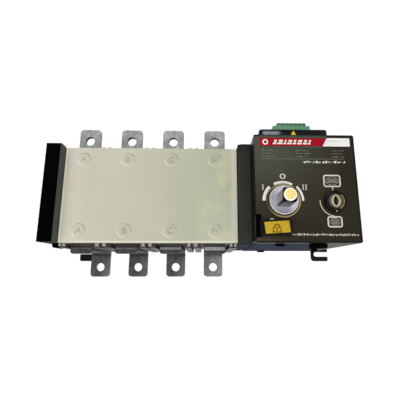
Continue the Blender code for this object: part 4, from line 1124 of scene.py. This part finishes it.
def sheet_metal():
    """The fixings and louvres of the chassis, and below the box a black sheet that is painted shadow by the
    foot and a flange in darkened zinc that is painted shade.
    """
    low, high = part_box("bottom_plate")
    latch_low, latch_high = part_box("cover_latch")
    front_y, back_y, edge = latch_high.y + 0.3 * MM, high.y - 1 * MM, high.x - 0.2 * MM
    start_y, bend_y, start_x = low.y + 1 * MM, back_y - 12 * MM, latch_high.x + 0.3 * MM
    # A black sheet from the latch back along the foot: painted shadow.
    shadow_sheet = [(latch_low.x + 3 * MM, front_y), (latch_low.x + 10.5 * MM, front_y), (edge, bend_y),
             (edge, back_y), (edge - 4.4 * MM, back_y)]
    flange = [(start_x, start_y), (edge, start_y), (edge, bend_y - 0.6 * MM),
              (latch_low.x + 11.1 * MM, front_y), (start_x, front_y)]
    # Painted shadow and painted shade under the box: the black sheet and the darkened flange.
    piece("foot_shadow_sheet", sheet([shadow_sheet], *span(low.z, -0.5, 0), 0.1, axis="Z"), SHADE_BLACK, "black_steel")
    piece("bottom_flange", sheet([flange], *span(low.z, -0.12, 0), axis="Z"), ZINC_SHADE, "galvanised_steel")
    low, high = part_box("chassis")
    screws = [socket_screw((COVER_HIGH.x, COVER_HIGH.y - 7 * MM, z), (1, 0, 0), 2.8, 1.6)
              for z in (COVER_LOW.z + 14 * MM, COVER_HIGH.z - 14 * MM)]
    rivets = []
    for node in ("carrier_plate_front", "carrier_plate_rear"):
        y = sum(corner.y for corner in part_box(node)) / 2
        rivets += [rivet((high.x, y, z * MM)) for z in (-42, -4, 30)]
    piece("cover_screws", screws, BLACK_STEEL, "black_steel")
    for x in (low.x + 5 * MM, high.x - 5 * MM):
        rivets += [rivet((x, y, high.z), (0, 0, 1)) for y in (COVER_HIGH.y + 8 * MM, high.y - 12 * MM)]
    piece("chassis_rivets", rivets, SCREW_STEEL, "galvanised_steel")
    seam = block(span(high.x, 0, 0.5), span(high.y, -9, -0.3), (low.z + 2 * MM, high.z - 2 * MM), 0.2)
    piece("chassis_seam", seam, ZINC_DULL, "galvanised_steel")
    louvres = [block(span(high.x, 0, 1.2), span(0, y, y + 2.6), span(0, 8, 34), 0.6)
               for y in range(-88, -38, 7)]
    piece("chassis_louvres", louvres, ZINC_DULL, "galvanised_steel")


def base():
    """The steel plate on the wall with its countersunk screws."""
    low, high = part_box("base_plate")
    places = [(x, z) for x in (low.x + 12 * MM, (low.x + high.x) / 2, high.x - 12 * MM)
              for z in (low.z + 9 * MM, high.z - 9 * MM)]
    loops = [rounded(low.x, high.x, low.z, high.z, 1.2), *(circle(x, z, 2.6, 32) for x, z in places)]
    piece("base_sheet", sheet(loops, low.y, high.y, 0.4), ZINC, "galvanised_steel", replaces=("base_plate",))
    bottom = (low.y - high.y) / MM + 0.4
    head = [(0, -1.2), (1.0, -1.2), (1.2, -0.4), (2.4, -0.4), (2.4, bottom), (0, bottom)]
    piece("base_screws", [turned((x, 0, z), high.y, head, 32) for x, z in places], SCREW_STEEL, "black_steel")


# ---------------------------------------------------------------- drive box: inside
def microswitches():
    """Four position switches side by side, each with a lever and three tabs."""
    low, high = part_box("signal_switches")
    pitch = (high.y - low.y) / 4
    bodies, metal = [], []
    for index in range(4):
        y0, y1 = low.y + index * pitch + 0.4 * MM, low.y + (index + 1) * pitch - 0.4 * MM
        bodies.append(block((low.x, high.x - 4 * MM), (y0, y1), (low.z, high.z - 2 * MM), 0.6))
        button_y = (y0 + 5 * MM, y1 - 5 * MM)
        bodies.append(block(span(low.x, 6, 8), button_y, span(high.z, -2, -0.8), 0.3))
        lever_x, lever_y = (low.x + 2 * MM, high.x - 5 * MM), (y0 + 4 * MM, y1 - 4 * MM)
        metal.append(block(lever_x, lever_y, span(high.z, -0.8, -0.4), 0.1, 1))
        tab_x, tab_y = span(high.x, -4, 0), (y0 + 6 * MM, y1 - 6 * MM)
        metal += [block(tab_x, tab_y, span(low.z, z, z + 0.8), 0.1, 1) for z in (2.1, 6.3, 10.5)]
    piece("microswitch_bodies", bodies, BLACK, "black_plastic", replaces=("signal_switches",))
    piece("microswitch_metal", metal, SCREW_STEEL, "bright_steel")


def board_parts():
    """Relays and chips on the control board."""
    low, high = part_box("control_board")
    relays = [block(span(low.x, u, u + 11), span(high.y, -13, -4), span(low.z, -8, 0), 0.6)
              for u in (4, 18, 32)]
    chips = [block(span(low.x, u, u + 8), span(low.y, 4, 9), span(low.z, -1.6, 0), 0.25, 1)
             for u in (6, 21, 36, 51, 66)]
    piece("board_relays", relays, BLUE_STEEL, "black_plastic")
    piece("board_chips", chips, BLACK, "black_plastic")


def motor():
    """The band round the can motor."""
    ring = [(14.2, 3), (17.3, 3), (17.3, 6), (17.05, 6.3), (17.05, 2.7), (14.2, 2.7)]
    piece("motor_band", turned(PINION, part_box("motor")[0].y, ring, 56), ZINC, "galvanised_steel")


film()
banner()
text_rows()
dial_marks()
mode_symbols()
drive_shaft()
key_lock()
padlock_hasp()
terminal_shroud()
control_plug()
sheet_metal()
base()
microswitches()
board_parts()
motor()

KEPT = (
    (DARK_MOULDING, 0.3, ["front_pole_housing_" + phase for phase in PHASES]),
    (DARK_MOULDING, 0.3, ["rear_pole_housing_" + phase for phase in PHASES]),
    (DARK_MOULDING, 0.4, ["rear_plate"]),
    (ROTOR, 0.2, ["front_rotor", "rear_rotor"]),
    (SPACER_BLACK, 0.4, ["spacer_cover"]),
    (BLUE_STEEL, 0.2, ["spacer_frame"]),
    (COVER_BLACK, 0.5, ["front_cover"]),
    (ZINC_DULL, 0.3, ["chassis"]),
    (BLUE_STEEL, 0.3, ["bottom_plate"]),
    (ZINC, 0.3, ["rail_top", "rail_bottom", "carrier_plate_front", "carrier_plate_rear"]),
    (BLACK_STEEL, 0.4, ["foot_top_left", "foot_top_right", "foot_bottom_left", "foot_bottom_right", "motor"]),
    (BOARD, 0.1, ["control_board"]),
    (SHADE_BLACK, 0.0, ["bottom_screw_front", "bottom_screw_rear", "cover_latch"]),
    (GOLD, 0.0, ["dial_ring"]),
    (BLACK, 0.0, ["dial_cup"]),
)
for material, edge, nodes in KEPT:
    for node in nodes:
        refine(node, material, edge)


# ---------------------------------------------------------------- studio
def world():
    """White behind the switch and overhead, and a dimmer room in front, so that black parts stay black."""
    sky = bpy.data.worlds.new("studio")
    bpy.context.scene.world = sky
    sky.use_nodes = True
    nodes, links = sky.node_tree.nodes, sky.node_tree.links
    split = nodes.new("ShaderNodeSeparateXYZ")
    links.new(nodes.new("ShaderNodeTexCoord").outputs["Generated"], split.inputs[0])
    strongest = nodes.new("ShaderNodeMath")
    strongest.operation = "MAXIMUM"
    for index, (axis, start, end) in enumerate((("Y", -0.15, 0.15), ("Z", 0.45, 0.95))):
        ramp = nodes.new("ShaderNodeMapRange")
        ramp.interpolation_type = "SMOOTHSTEP"
        for name, value in (("From Min", start), ("From Max", end), ("To Min", ROOM), ("To Max", BACKDROP)):
            ramp.inputs[name].default_value = value
        links.new(split.outputs[axis], ramp.inputs["Value"])
        links.new(ramp.outputs["Result"], strongest.inputs[index])
    background = nodes["Background"]
    background.inputs["Color"].default_value = (1.0, 1.0, 1.0, 1.0)
    links.new(strongest.outputs[0], background.inputs["Strength"])


def floor():
    """A pale floor well below the switch."""
    bm = bmesh.new()
    bmesh.ops.create_grid(bm, x_segments=1, y_segments=1, size=6.0)
    mesh = bpy.data.meshes.new("floor")
    bm.to_mesh(mesh)
    bm.free()
    pale = Finish("floor_paint", (0.90, 0.90, 0.90), 0.8)
    pale.mottle(0.99, 1.01, 400, 2.0)
    pale.shader.inputs["Emission Color"].default_value = (1.0, 1.0, 1.0, 1.0)
    pale.shader.inputs["Emission Strength"].default_value = 0.45
    mesh.materials.append(pale.done())
    show("floor", mesh, (0, 0, -0.60))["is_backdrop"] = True


def light(name, place, size, power, colour=(1.0, 1.0, 1.0), turn=None):
    """A soft rectangular light that faces the switch, unless its turn is given."""
    data = bpy.data.lights.new(name, "AREA")
    data.shape = "RECTANGLE"
    data.size, data.size_y = size
    data.energy = power
    data.color = colour
    show(name, data, place, turn or (-Vector(place)).to_track_quat("-Z", "Y").to_euler())


def camera():
    """Below the middle of the switch, looking up a little."""
    data = bpy.data.cameras.new("camera")
    data.sensor_width = 36.0
    data.lens = 29.74
    data.shift_x = -0.030
    data.shift_y = -0.003
    data.clip_start = 0.01
    turn = (math.radians(90 + 12.11), 0.0, math.radians(-1.30))
    bpy.context.scene.camera = show("camera", data, (-0.0007, -0.4811, -0.0830), turn)


world()
floor()
light("key", (-0.35, -1.35, 1.35), (1.1, 1.1), 8.5)
light("fill", (0.9, -1.6, 0.2), (1.2, 1.2), 2.0)
light("strip", (0.338, -1.35, 0.619), (0.09, 0.026), 0.22, (0.80, 0.88, 1.0), (math.pi / 2, 0, 0))
camera()
bpy.context.scene.view_settings.view_transform = "Standard"

low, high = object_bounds()
